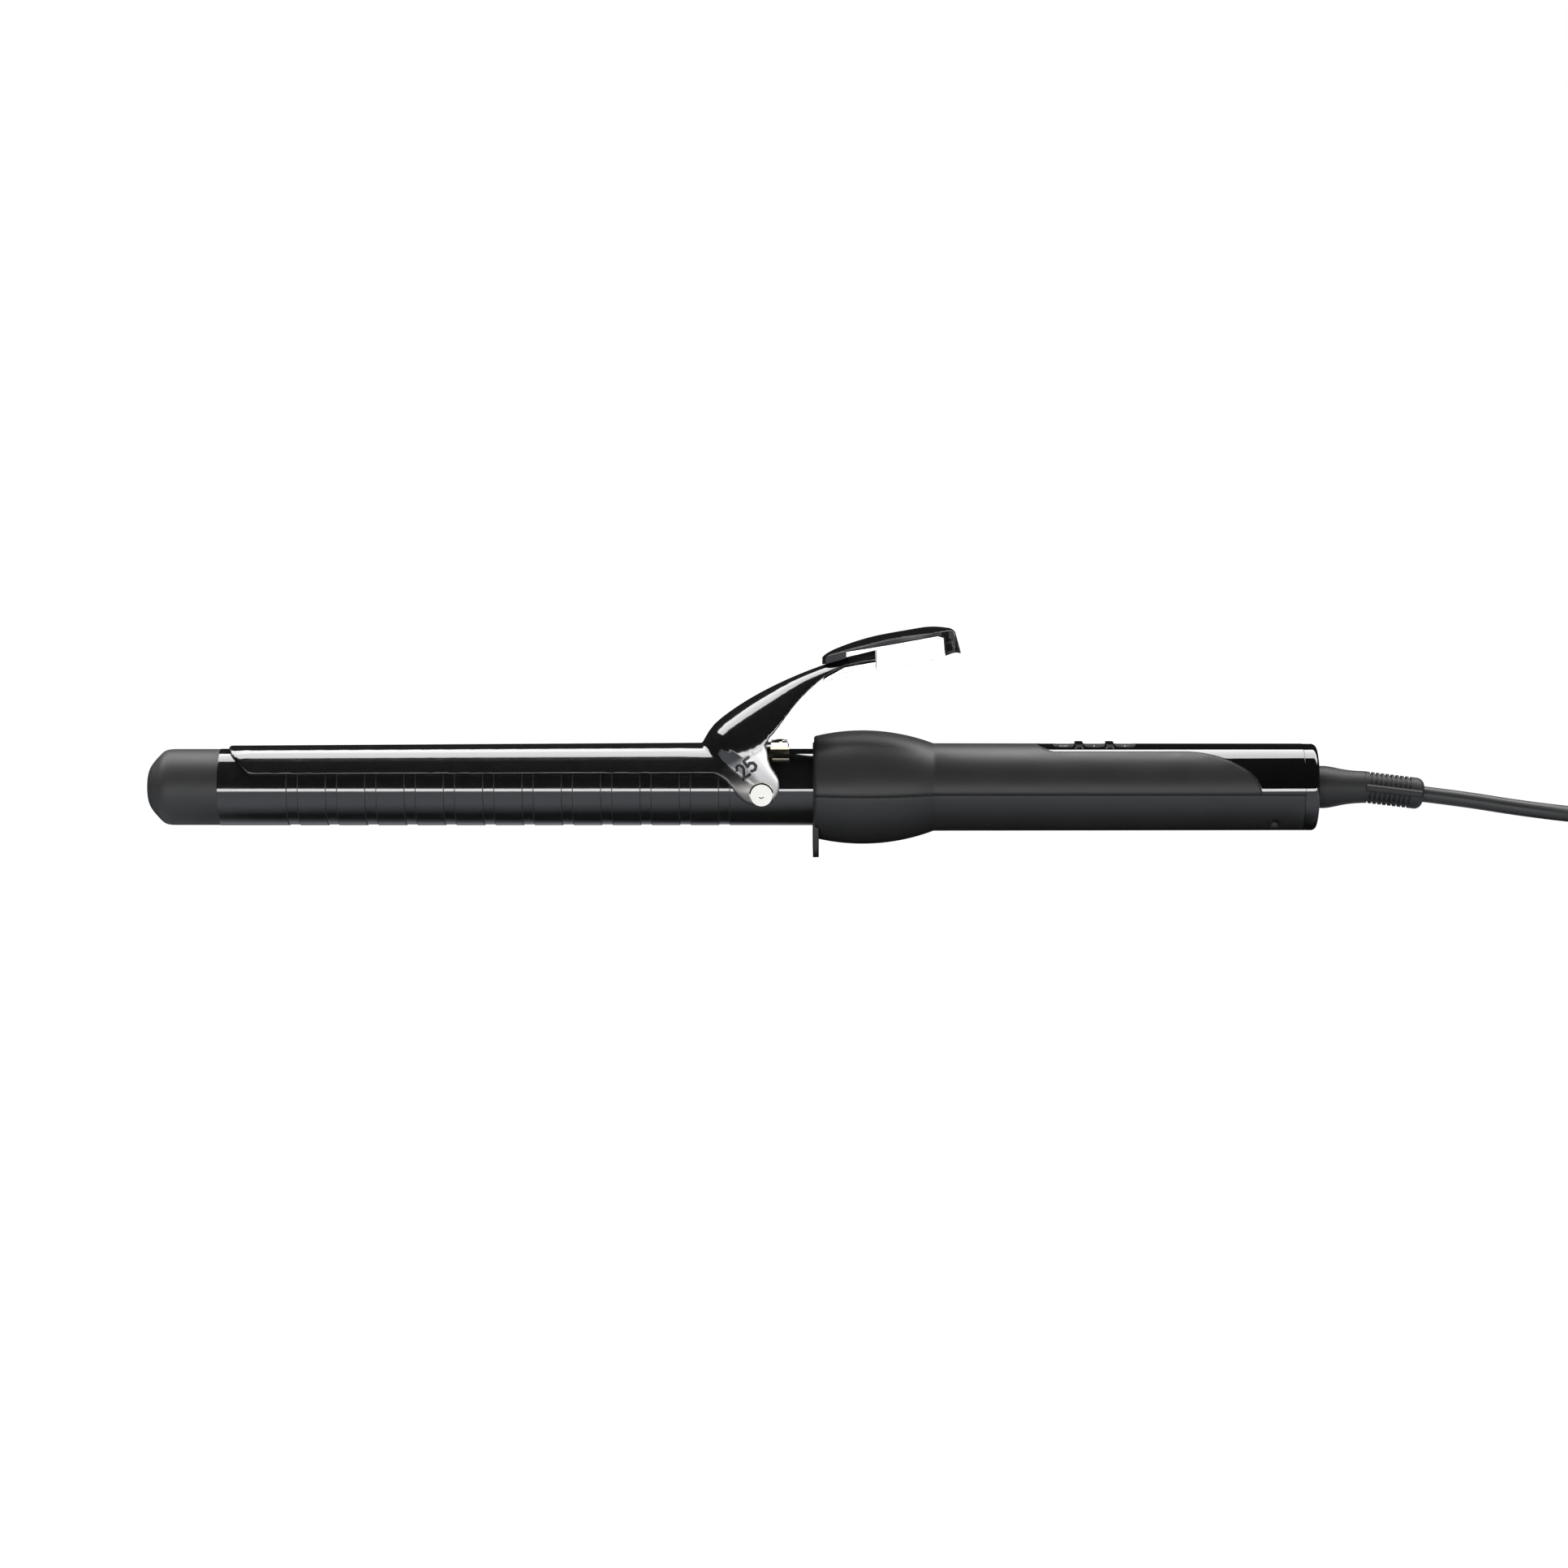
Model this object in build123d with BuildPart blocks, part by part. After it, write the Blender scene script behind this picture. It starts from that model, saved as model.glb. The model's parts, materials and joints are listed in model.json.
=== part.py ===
from build123d import *
import os
from math import atan2, cos, degrees, pi, radians, sin, sqrt, tan

# Curling iron with a 25 mm barrel, a sprung clamp and a swivel cord. Millimetres.
# The iron is drawn lying level: X runs along the barrel's axis towards the cord, Z is up,
# and the origin is on the axis at the handle's front face. RESTING then stands it on a table.

# ---------------------------------------------------------------- driving dimensions
BARREL_R = 12.5
BARREL_WALL = 1.0
BARREL_BACK_X = 32.0
BAND_COUNT = 12
BAND_PITCH = 12.72
BAND_WIDTH = 3.6
BAND_DEPTH = 0.25
FIRST_BAND_X = -169.1

TIP_X = -217.2
CAP_BACK_X = -193.3
CAP_R = 12.4

SHEET = 0.85
CLAMP_TIP_X = -190.5
CLAMP_TIP_R = 12.7
CLAMP_ROOT_R = 13.65
CLAMP_ROOT_X = -36.5
CLAMP_HALF_ANGLE = 62.0
TIP_ROUND = 11.2
PIVOT_X = -17.1
PIVOT_SHANK_R = 2.0
PIVOT_PLAY = 0.06

HANDLE_FRONT_R = 16.7
BULGE_X = 15.1
BULGE_R = 18.5
CREASE_X = 38.9
CREASE_R = 14.3
HANDLE_BACK_X = 158.9
HANDLE_BACK_R = 14.1
HANDLE_WALL = 2.2
RING_BACK_X = 163.6
RING_HOLE_R = 6.95

COVER_TIP_X = 72.8
COVER_BACK_X = 158.9
COVER_EDGE_Z = 12.7
COVER_BEND_X = 120.0
COVER_FOOT_X = 144.7
COVER_IN_R = 12.9
COVER_OUT_R = 14.2

BUTTON_XS = {"button_power": 81.2, "button_minus": 91.2, "button_plus": 101.2}
BUTTON_LENGTH = 7.0
BUTTON_HALF_WIDTH = 3.4
BUTTON_GAP = 0.15

FOOT_FRONT_X = -0.4
FOOT_THICK = 1.9
FOOT_DROP = 21.2
FOOT_HALF_WIDTH = 12.3

RELIEF_ROOT_R = 6.9
RELIEF_WAIST_R = 5.2
RELIEF_WAIST_X = 179.5
RELIEF_RIBBED = 19.2
RELIEF_DROOP = 7.0

CORD_D = 5.2
CORD_R = CORD_D / 2

# ---------------------------------------------------------------- how it rests
# It stands on its foot and on the lowest line of the end ring, so its axis tips by TILT.
RING_REST_X = RING_BACK_X - 1.7
TILT = degrees(atan2(FOOT_DROP - HANDLE_BACK_R, RING_REST_X - FOOT_FRONT_X - FOOT_THICK))
LIFT = RING_REST_X * sin(radians(TILT)) + HANDLE_BACK_R * cos(radians(TILT))
# brings the middle of the iron's length, without the free cord, over the origin
CENTRING = 9.16
RESTING = Location((CENTRING, 0, LIFT), (0, TILT, 0))

os.makedirs("parts", exist_ok=True)


def write(part, name, where=RESTING):
    """Stands a finished piece on the table and writes it as one STEP file."""
    done = part.moved(where)
    done.label = name
    export_step(done, f"parts/{name}.step")
    return done


def about_axis(angle):
    """The plane that holds the X axis and leans by angle from upright, towards +Y."""
    lean = radians(angle)
    return Plane(origin=(0, 0, 0), x_dir=(1, 0, 0), z_dir=(0, -cos(lean), sin(lean)))


# ================================================================ barrel and heater
with BuildPart() as tip_cap:
    with BuildSketch(Plane.XZ):
        with BuildLine():
            dome = Spline(
                (TIP_X, 0),
                (TIP_X + 1.1, 6.7),
                (TIP_X + 4.2, 10.5),
                (TIP_X + 9.0, CAP_R),
                tangents=[(0, 1), (1, 0)],
            )
            Polyline(
                dome @ 1,
                (CAP_BACK_X, CAP_R),
                (CAP_BACK_X, 11.4),
                (CAP_BACK_X + 6.5, 11.4),
                (CAP_BACK_X + 6.5, 9.8),
                (TIP_X + 8.0, 9.8),
                (TIP_X + 2.6, 5.5),
                (TIP_X + 2.6, 0),
                (TIP_X, 0),
            )
        make_face()
    revolve(axis=Axis.X)
write(tip_cap.part, "tip_cap")

with BuildPart() as barrel:
    with BuildSketch(Plane.XZ):
        with Locations(((CAP_BACK_X + BARREL_BACK_X) / 2, BARREL_R - BARREL_WALL / 2)):
            Rectangle(BARREL_BACK_X - CAP_BACK_X, BARREL_WALL)
        band_xs = [FIRST_BAND_X + n * BAND_PITCH for n in range(BAND_COUNT)]
        with Locations([(x, BARREL_R) for x in band_xs]):
            Rectangle(BAND_WIDTH, 2 * BAND_DEPTH, mode=Mode.SUBTRACT)
    revolve(axis=Axis.X)
    with BuildSketch(Plane.XZ):
        with Locations((PIVOT_X, 0)):
            Circle(1.52)
    extrude(amount=20, both=True, mode=Mode.SUBTRACT)
    with BuildSketch(Plane.XY):
        with Locations((-11.0, 0)):
            Circle(1.02)
    extrude(amount=20, mode=Mode.SUBTRACT)
write(barrel.part, "barrel")

HEATER_FRONT_X = -178.0
HEATER_BACK_X = -42.0
HEATER_MID_X = (HEATER_FRONT_X + HEATER_BACK_X) / 2
HEATER_LENGTH = HEATER_BACK_X - HEATER_FRONT_X
SPREADER_R = 11.3
SPREADER_GAP = 2.3
SENSOR_Z = 8.0

for side, name in ((1, "heat_spreader_upper"), (-1, "heat_spreader_lower")):
    with BuildPart() as spreader:
        with BuildSketch(Plane.YZ.offset(HEATER_FRONT_X)):
            Circle(SPREADER_R)
            Circle(6.2, mode=Mode.SUBTRACT)
            with Locations((0, side * 4.2)):
                Rectangle(14.0, 2 * (4.2 - SPREADER_GAP))
            with Locations((0, -side * (20 - SPREADER_GAP))):
                Rectangle(40, 40, mode=Mode.SUBTRACT)
        extrude(amount=HEATER_LENGTH)
        # bore for the temperature sensor
        with BuildSketch(Plane.YZ.offset(-66.5)):
            with Locations((0, SENSOR_Z)):
                Circle(1.2)
        extrude(amount=30.0, mode=Mode.SUBTRACT)
    write(spreader.part, name)

STONE_LENGTH = 34.0
STONE_THICK = 2.4
with BuildPart() as heater_stones:
    with BuildSketch(Plane.XY.offset(-STONE_THICK / 2)):
        with GridLocations(40.0, 1, 3, 1):
            with Locations((HEATER_MID_X, 0)):
                Rectangle(STONE_LENGTH, 12.0)
    extrude(amount=STONE_THICK)
write(heater_stones.part, "heater_stones")

with BuildPart() as heater_electrodes:
    for side in (-1, 1):
        plate_z = side * (STONE_THICK / 2 + 0.35)
        with BuildSketch(Plane.XY.offset(plate_z - 0.25)):
            with Locations((HEATER_MID_X + 6, 0)):
                Rectangle(HEATER_LENGTH + 8, 11.0)
            with Locations((HEATER_BACK_X + 14, side * 3.5)):
                Rectangle(12.0, 3.0)
        extrude(amount=0.5)
write(heater_electrodes.part, "heater_electrodes")

with BuildPart() as temperature_sensor:
    with BuildSketch(Plane.YZ.offset(-66.0)):
        with Locations((0, SENSOR_Z)):
            Circle(1.1)
    extrude(amount=4.0)
    with BuildSketch(Plane.YZ.offset(-62.0)):
        with Locations((-0.6, SENSOR_Z), (0.6, SENSOR_Z)):
            Circle(0.35)
    extrude(amount=34.0)
write(temperature_sensor.part, "temperature_sensor")

with BuildPart() as thermal_fuse:
    with BuildSketch(Plane.YZ.offset(-22.0)):
        with Locations((0, -6.5)):
            Circle(2.0)
    extrude(amount=11.0)
    fillet(thermal_fuse.edges().filter_by(GeomType.CIRCLE), 0.5)
    with BuildSketch(Plane.YZ.offset(-27.0)):
        with Locations((0, -6.5)):
            Circle(0.5)
    extrude(amount=21.0)
write(thermal_fuse.part, "thermal_fuse")

COLLAR_FRONT_X = 3.4
COLLAR_BACK_X = 30.0
with BuildPart() as barrel_collar:
    with BuildSketch(Plane.XZ):
        with BuildLine():
            Polyline(
                (COLLAR_FRONT_X, BARREL_R + 0.02),
                (COLLAR_FRONT_X, 15.0),
                (COLLAR_FRONT_X + 3.0, 15.0),
                (COLLAR_FRONT_X + 3.0, 13.9),
                (21.0, 13.9),
                (21.0, 15.2),
                (24.0, 15.2),
                (24.0, 13.9),
                (COLLAR_BACK_X, 13.9),
                (COLLAR_BACK_X, BARREL_R + 0.02),
                close=True,
            )
        make_face()
    revolve(axis=Axis.X)
write(barrel_collar.part, "barrel_collar")

LEAD_R = 0.8
with BuildPart() as heater_leads:
    for start, end in (
        ((-24.0, -4.6, -1.5), (78.0, -5.5, 0.6)),
        ((-24.0, 4.6, 1.5), (78.0, 5.5, 0.6)),
        ((-6.0, 0.0, -6.5), (70.0, -2.0, 1.0)),
    ):
        with BuildLine():
            knee = (start[0] + 60.0, start[1], start[2])
            lead = FilletPolyline(start, knee, end, radius=20.0)
        with BuildSketch(Plane(origin=start, z_dir=(1, 0, 0))):
            Circle(LEAD_R)
        sweep(path=lead)
write(heater_leads.part, "heater_leads")

# ================================================================ clamp
# Upright stretch of the neck: each section is an arch across the neck, given by the top of
# its outside, the direction that points up through it in degrees, its half width,
# the height of its rounded part and the reach of its legs.
OUT_R = CLAMP_ROOT_R + SHEET
ROOT_LEAN = 147.0
ROOT_ARCH = OUT_R / sin(radians(ROOT_LEAN))
NECK_STATIONS = [
    ((CLAMP_ROOT_X, OUT_R), ROOT_LEAN, OUT_R, ROOT_ARCH, ROOT_ARCH + 6.0),
    ((-32.6, 20.6), 136.0, OUT_R, 17.0, 34.0),
    ((-24.6, 26.8), 123.0, OUT_R, 14.0, 34.0),
    ((-15.4, 32.2), 115.0, 13.0, 12.0, 24.0),
    ((-6.2, 36.6), 110.0, 9.2, 8.5, 14.0),
    ((2.2, 39.9), 108.5, 6.9, 5.0, 9.0),
    ((11.0, 42.9), 108.0, 6.1, 2.6, 7.0),
    ((19.8, 45.6), 106.0, 6.0, 2.4, 7.0),
]
STEPS_BETWEEN = 3


def between(stations, steps):
    """The stations with steps - 1 more between each two, on one smooth curve through all of them."""
    rows = [(top[0], top[1], *rest) for top, *rest in stations]
    smooth = []
    for n in range(len(rows) - 1):
        before = rows[max(n - 1, 0)]
        start, end = rows[n], rows[n + 1]
        after = rows[min(n + 2, len(rows) - 1)]
        for step in range(steps):
            t = step / steps
            row = []
            for a, b, c, d in zip(before, start, end, after):
                leave, arrive = (c - a) / 2, (d - b) / 2
                row.append(
                    b + leave * t + (3 * (c - b) - 2 * leave - arrive) * t**2
                    + (2 * (b - c) + leave + arrive) * t**3
                )
            smooth.append(((row[0], row[1]), *row[2:]))
    return smooth + [stations[-1]]


NECK = between(NECK_STATIONS, STEPS_BETWEEN)


def neck_plane(top, lean):
    """The plane of one arch: Y runs across it and its second direction points up by lean."""
    up = radians(lean)
    return Plane(origin=(top[0], 0, top[1]), x_dir=(0, 1, 0), z_dir=(sin(up), 0, -cos(up)))


with BuildPart() as clamp:
    for top, lean, half_width, arch, reach in NECK:
        inner = half_width - SHEET
        inner_arch = arch - SHEET if arch < ROOT_ARCH - 3 else arch * inner / half_width
        with BuildSketch(neck_plane(top, lean)):
            with BuildLine():
                EllipticalCenterArc((0, -arch), half_width, arch, start_angle=0, arc_size=180)
                Polyline((-half_width, -arch), (-half_width, -reach), (-inner, -reach), (-inner, -arch))
                EllipticalCenterArc((0, -arch), inner, inner_arch, start_angle=0, arc_size=180)
                Polyline((inner, -arch), (inner, -reach), (half_width, -reach), (half_width, -arch))
            make_face()
    loft(ruled=True)
    # the cheeks round the barrel, in front of the neck's first section
    with BuildPart(mode=Mode.PRIVATE) as cheeks:
        with BuildSketch(Plane.YZ.offset(CLAMP_ROOT_X)):
            Circle(OUT_R)
            with Locations((0, -5)):
                Rectangle(2 * OUT_R, 10)
            Circle(CLAMP_ROOT_R, mode=Mode.SUBTRACT)
            with Locations((0, -10)):
                Rectangle(2 * CLAMP_ROOT_R, 20, mode=Mode.SUBTRACT)
        extrude(amount=30)
        split(bisect_by=neck_plane((CLAMP_ROOT_X, OUT_R), ROOT_LEAN), keep=Keep.BOTTOM)
    add(cheeks.part)
    # side outline: ear, back edge of the ear and underside of the neck
    with BuildSketch(Plane.XZ):
        with BuildLine():
            ear = Spline(
                (-33.2, 6.85),
                (-28.2, 3.9),
                (-25.5, 0.3),
                (-22.4, -2.6),
                (-18.7, -3.8),
                (-14.6, -3.0),
                (-11.4, 1.0),
                (-11.6, 5.4),
                (-14.7, 11.1),
                (-15.3, 15.0),
                (-14.3, 18.6),
                tangents=[(1, -0.35), (0.5, 1)],
            )
            under = Spline(
                ear @ 1,
                (-11.4, 21.9),
                (-6.1, 28.6),
                (-0.8, 33.8),
                (4.5, 37.9),
                (9.8, 40.6),
                (19.9, 42.4),
                tangents=[(1, 0.9), (1, 0.15)],
            )
            Polyline(under @ 1, (19.9, 60), (-60, 60), (-60, 6.85), ear @ 0)
        make_face()
    extrude(amount=20, both=True, mode=Mode.INTERSECT)
    # the spoon, a slightly conical trough that touches the barrel near its tip
    with BuildSketch(about_axis(CLAMP_HALF_ANGLE)):
        with BuildLine():
            Polyline(
                (CLAMP_TIP_X, CLAMP_TIP_R),
                (CLAMP_ROOT_X, CLAMP_ROOT_R),
                (-32.0, CLAMP_ROOT_R),
                (-32.0, OUT_R),
                (CLAMP_ROOT_X, OUT_R),
                (CLAMP_TIP_X, CLAMP_TIP_R + SHEET),
                close=True,
            )
        make_face()
    revolve(axis=Axis.X, revolution_arc=2 * CLAMP_HALF_ANGLE)
    # the spoon's rounded tip, seen from above
    with BuildSketch(Plane.XY):
        with Locations((CLAMP_TIP_X + TIP_ROUND, 0)):
            Ellipse(TIP_ROUND, 12.1)
        with Locations((CLAMP_TIP_X + TIP_ROUND + 150, 0)):
            Rectangle(300, 40)
    extrude(amount=60, both=True, mode=Mode.INTERSECT)
    # holes for the pivot screws
    with BuildSketch(Plane.XZ):
        with Locations((PIVOT_X, 0)):
            Circle(PIVOT_SHANK_R + PIVOT_PLAY)
    extrude(amount=20, both=True, mode=Mode.SUBTRACT)
write(clamp.part, "clamp")

# ---------------------------------------------------------------- thumb rest
TONGUE_END_X = 19.9
with BuildPart() as thumb_cover:
    with BuildSketch(Plane.XZ):
        with BuildLine():
            crown = Spline(
                (2.6, 42.6),
                (8.2, 45.3),
                (20.9, 49.0),
                (33.0, 51.2),
                (43.6, 52.0),
                tangents=[(1, 0.8), (1, 0)],
            )
            corner = TangentArc(crown @ 1, (45.9, 50.4), tangent=(1, 0))
            Polyline(
                corner @ 1,
                (47.4, 45.0),
                (42.5, 43.8),
                (41.9, 50.0),
                (39.8, 50.6),
                (10.3, 45.5),
                (10.3, 43.3),
                (2.6, 40.6),
                crown @ 0,
            )
        make_face()
    extrude(amount=12, both=True)
    with BuildSketch(Plane.XY):
        with BuildLine():
            rim = Spline(
                (2.6, 0),
                (4.6, 3.6),
                (10.0, 6.0),
                (20.0, 7.2),
                (31.0, 6.9),
                (41.0, 5.6),
                (46.4, 3.4),
                (47.4, 0),
                tangents=[(0, 1), (0, -1)],
            )
            mirror(about=Plane.XZ)
        make_face()
    extrude(amount=60, mode=Mode.INTERSECT)
write(thumb_cover.part, "thumb_cover")

with BuildPart() as thumb_liner:
    with BuildSketch(Plane.XZ):
        with BuildLine():
            Polyline(
                (10.5, 45.35),
                (39.8, 50.4),
                (41.7, 49.8),
                (42.3, 43.7),
                (TONGUE_END_X + 0.3, 39.1),
                (TONGUE_END_X + 0.3, 46.2),
                (10.5, 43.7),
                close=True,
            )
        make_face()
    extrude(amount=12, both=True)
    with BuildSketch(Plane.XY):
        with BuildLine():
            side = Spline(
                (8.0, 5.3),
                (14.0, 6.4),
                (22.0, 6.95),
                (31.0, 6.65),
                (44.0, 4.9),
            )
            Line(side @ 0, (8.0, 0))
            Line(side @ 1, (44.0, 0))
            mirror(about=Plane.XZ)
        make_face()
    extrude(amount=60, mode=Mode.INTERSECT)
write(thumb_liner.part, "thumb_liner")

with BuildPart() as thumb_clip:
    with BuildSketch(Plane.XZ):
        with BuildLine():
            Polyline(
                (3.4, 36.6),
                (9.8, 40.2),
                (TONGUE_END_X, 42.0),
                (TONGUE_END_X, 38.95),
                (3.0, 35.6),
                close=True,
            )
        make_face()
    extrude(amount=5.6, both=True)
    with BuildSketch(Plane.XZ):
        with BuildLine():
            Polyline((6.4, 38.0), (TONGUE_END_X, 41.05), (TONGUE_END_X, 40.7), (6.4, 37.65), close=True)
        make_face()
    extrude(amount=20, both=True, mode=Mode.SUBTRACT)
    with BuildSketch(Plane.XZ):
        with BuildLine():
            Polyline((6.4, 38.0), (TONGUE_END_X, 41.05), (TONGUE_END_X, 40.7), (6.4, 37.65), close=True)
        make_face()
    extrude(amount=4.9, both=True)
write(thumb_clip.part, "thumb_clip")

# ---------------------------------------------------------------- pivot and return spring
BRACKET_R = 13.3
BRACKET_FRONT_X = -26.5
BRACKET_BACK_X = -8.2
PAD_FRONT_X = -14.2
with BuildPart() as pivot_bracket:
    with BuildSketch(about_axis(36.0)):
        with Locations(((BRACKET_FRONT_X + BRACKET_BACK_X) / 2, (BARREL_R + 0.03 + BRACKET_R) / 2)):
            Rectangle(BRACKET_BACK_X - BRACKET_FRONT_X, BRACKET_R - BARREL_R - 0.03)
    revolve(axis=Axis.X, revolution_arc=72)
    with BuildSketch(about_axis(100.0)):
        with Locations((PIVOT_X, (BARREL_R + 0.03 + BRACKET_R) / 2)):
            Rectangle(7.0, BRACKET_R - BARREL_R - 0.03)
    revolve(axis=Axis.X, revolution_arc=200)
    with BuildSketch(Plane.XY.offset(13.0)):
        with Locations(((PAD_FRONT_X + BRACKET_BACK_X) / 2, 0)):
            Rectangle(BRACKET_BACK_X - PAD_FRONT_X, 6.4)
    extrude(amount=0.85)
    with BuildSketch(Plane.XZ):
        with Locations((PIVOT_X, 0)):
            Circle(1.52)
    extrude(amount=20, both=True, mode=Mode.SUBTRACT)
    with BuildSketch(Plane.XY.offset(10)):
        with Locations((-11.0, 0)):
            Circle(1.02)
    extrude(amount=10, mode=Mode.SUBTRACT)
write(pivot_bracket.part, "pivot_bracket")

EAR_OUT_Y = OUT_R
SCREW_HEAD_R = 4.0
with BuildPart() as pivot_screws:
    for side in (-1, 1):
        with BuildSketch(Plane(origin=(PIVOT_X, 0, 0), x_dir=(1, 0, 0), z_dir=(0, 0, side))):
            with BuildLine():
                Polyline(
                    (0, 10.6),
                    (1.5, 10.6),
                    (1.5, BRACKET_R + 0.05),
                    (PIVOT_SHANK_R, BRACKET_R + 0.05),
                    (PIVOT_SHANK_R, EAR_OUT_Y + 0.15),
                    (SCREW_HEAD_R, EAR_OUT_Y + 0.15),
                    (SCREW_HEAD_R, EAR_OUT_Y + 0.95),
                    (SCREW_HEAD_R - 0.45, EAR_OUT_Y + 1.35),
                    (1.05, EAR_OUT_Y + 1.35),
                    (0.85, EAR_OUT_Y + 0.75),
                    (0, EAR_OUT_Y + 0.75),
                    close=True,
                )
            make_face()
        revolve(axis=Axis((PIVOT_X, 0, 0), (0, 1, 0)))
write(pivot_screws.part, "pivot_screws")

SPRING_THICK = 0.6
SPRING_WIDTH = 6.0
SPRING_SCREW_X = -11.0
SPRING_FOOT_Z = 13.85
with BuildPart() as return_spring:
    with BuildLine():
        foot_z = SPRING_FOOT_Z + SPRING_THICK / 2
        leaf = FilletPolyline(
            (-8.5, 0, foot_z),
            (-27.6, 0, foot_z),
            (-26.4, 0, 20.4),
            (-13.6, 0, 31.0),
            radius=[1.8, 7.0],
        )
    with BuildSketch(Plane(origin=leaf @ 0, x_dir=(0, 1, 0), z_dir=(-1, 0, 0))):
        Rectangle(SPRING_WIDTH, SPRING_THICK)
    sweep(path=leaf)
    # turned-up edges of the foot
    with BuildSketch(Plane.XY.offset(SPRING_FOOT_Z + SPRING_THICK)):
        with Locations((-11.3, SPRING_WIDTH / 2 - 0.3), (-11.3, 0.3 - SPRING_WIDTH / 2)):
            Rectangle(5.4, 0.6)
    extrude(amount=0.7)
    with BuildSketch(Plane.XY.offset(10)):
        with Locations((SPRING_SCREW_X, 0)):
            Circle(1.15)
    extrude(amount=8, mode=Mode.SUBTRACT)
write(return_spring.part, "return_spring")

with BuildPart() as spring_screw:
    head_z = SPRING_FOOT_Z + SPRING_THICK + 0.02
    with BuildSketch(Plane.XY.offset(10.7)):
        with Locations((SPRING_SCREW_X, 0)):
            Circle(1.0)
    extrude(amount=head_z - 10.7)
    with BuildSketch(Plane.XY.offset(head_z)):
        with Locations((SPRING_SCREW_X, 0)):
            Circle(1.75)
    extrude(amount=1.2)
    fillet(spring_screw.edges().group_by(Axis.Z)[-1], 0.5)
    with BuildSketch(Plane.XY.offset(head_z + 0.7)):
        with Locations((SPRING_SCREW_X, 0)):
            Rectangle(1.9, 0.45)
            Rectangle(0.45, 1.9)
    extrude(amount=1.0, mode=Mode.SUBTRACT)
write(spring_screw.part, "spring_screw")

# ================================================================ handle
SEAM = 0.06
HANDLE_SCREW_X = 149.5
HANDLE_SCREW_Y = 8.6
COUNTERBORE_R = 1.85
BOSS_R = 2.9


def half_shell(top):
    """One hollow half of the handle, above or below the seam."""
    with BuildPart() as shell:
        with BuildSketch(Plane.XZ):
            with BuildLine():
                bulge = ThreePointArc((0.5, HANDLE_FRONT_R), (BULGE_X, BULGE_R), (CREASE_X, CREASE_R))
                Line(bulge @ 1, (HANDLE_BACK_X, HANDLE_BACK_R))
                hollow = ThreePointArc(
                    (3.2, HANDLE_FRONT_R + 0.55 - HANDLE_WALL),
                    (BULGE_X, BULGE_R - HANDLE_WALL),
                    (CREASE_X - 1.0, CREASE_R - HANDLE_WALL),
                )
                Line(hollow @ 1, (HANDLE_BACK_X, HANDLE_BACK_R - HANDLE_WALL))
                Line((HANDLE_BACK_X, HANDLE_BACK_R - HANDLE_WALL), (HANDLE_BACK_X, HANDLE_BACK_R))
                Polyline(
                    hollow @ 0,
                    (3.2, BARREL_R + 0.3),
                    (1.6, BARREL_R + 0.3),
                    (1.6, 14.7),
                    (0, 14.7),
                    (0, HANDLE_FRONT_R - 0.5),
                    bulge @ 0,
                )
            make_face()
        revolve(axis=Axis.X)
        seam_z = SEAM if top else -SEAM
        split(bisect_by=Plane.XY.offset(seam_z), keep=Keep.TOP if top else Keep.BOTTOM)
    return shell.part


def cover_zone(inner_r, outer_r):
    """The stretch of the upper handle that the gloss cover takes up, between two radii."""
    with BuildPart() as zone:
        with BuildSketch(Plane.XZ):
            with Locations(((COVER_TIP_X + COVER_BACK_X) / 2, (inner_r + outer_r) / 2)):
                Rectangle(COVER_BACK_X - COVER_TIP_X, outer_r - inner_r)
        revolve(axis=Axis.X)
        with BuildSketch(Plane.XZ):
            with BuildLine():
                EllipticalCenterArc(
                    (COVER_BEND_X, SEAM),
                    COVER_FOOT_X - COVER_BEND_X,
                    COVER_EDGE_Z - SEAM,
                    start_angle=0,
                    arc_size=90,
                )
                Polyline(
                    (COVER_BEND_X, COVER_EDGE_Z),
                    (COVER_TIP_X - 1, COVER_EDGE_Z),
                    (COVER_TIP_X - 1, 20),
                    (COVER_BACK_X + 1, 20),
                    (COVER_BACK_X + 1, SEAM),
                    (COVER_FOOT_X, SEAM),
                )
            make_face()
        extrude(amount=20, both=True, mode=Mode.INTERSECT)
        with BuildSketch(Plane.XY):
            with Locations((COVER_TIP_X + 7.5, 0)):
                Ellipse(7.5, 6.6)
            with Locations((COVER_TIP_X + 57.5, 0)):
                Rectangle(100, 40)
        extrude(amount=20, mode=Mode.INTERSECT)
    return zone.part


button_places = [(x, 0) for x in BUTTON_XS.values()]

with BuildPart() as handle_upper:
    add(half_shell(top=True))
    with BuildSketch(Plane.XY.offset(SEAM)):
        with Locations((HANDLE_SCREW_X, HANDLE_SCREW_Y), (HANDLE_SCREW_X, -HANDLE_SCREW_Y)):
            Circle(BOSS_R)
    extrude(amount=7.6)
    add(cover_zone(COVER_IN_R - 0.02, 16.0), mode=Mode.SUBTRACT)
    with BuildSketch(Plane.XY.offset(SEAM)):
        with Locations((HANDLE_SCREW_X, HANDLE_SCREW_Y), (HANDLE_SCREW_X, -HANDLE_SCREW_Y)):
            Circle(1.02)
    extrude(amount=7.0, mode=Mode.SUBTRACT)
    with BuildSketch(Plane.XY.offset(8)):
        with Locations(*button_places):
            RectangleRounded(BUTTON_LENGTH + 2 * BUTTON_GAP, 2 * (BUTTON_HALF_WIDTH + BUTTON_GAP), 3.0)
    extrude(amount=10, mode=Mode.SUBTRACT)
write(handle_upper.part, "handle_upper")

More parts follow.
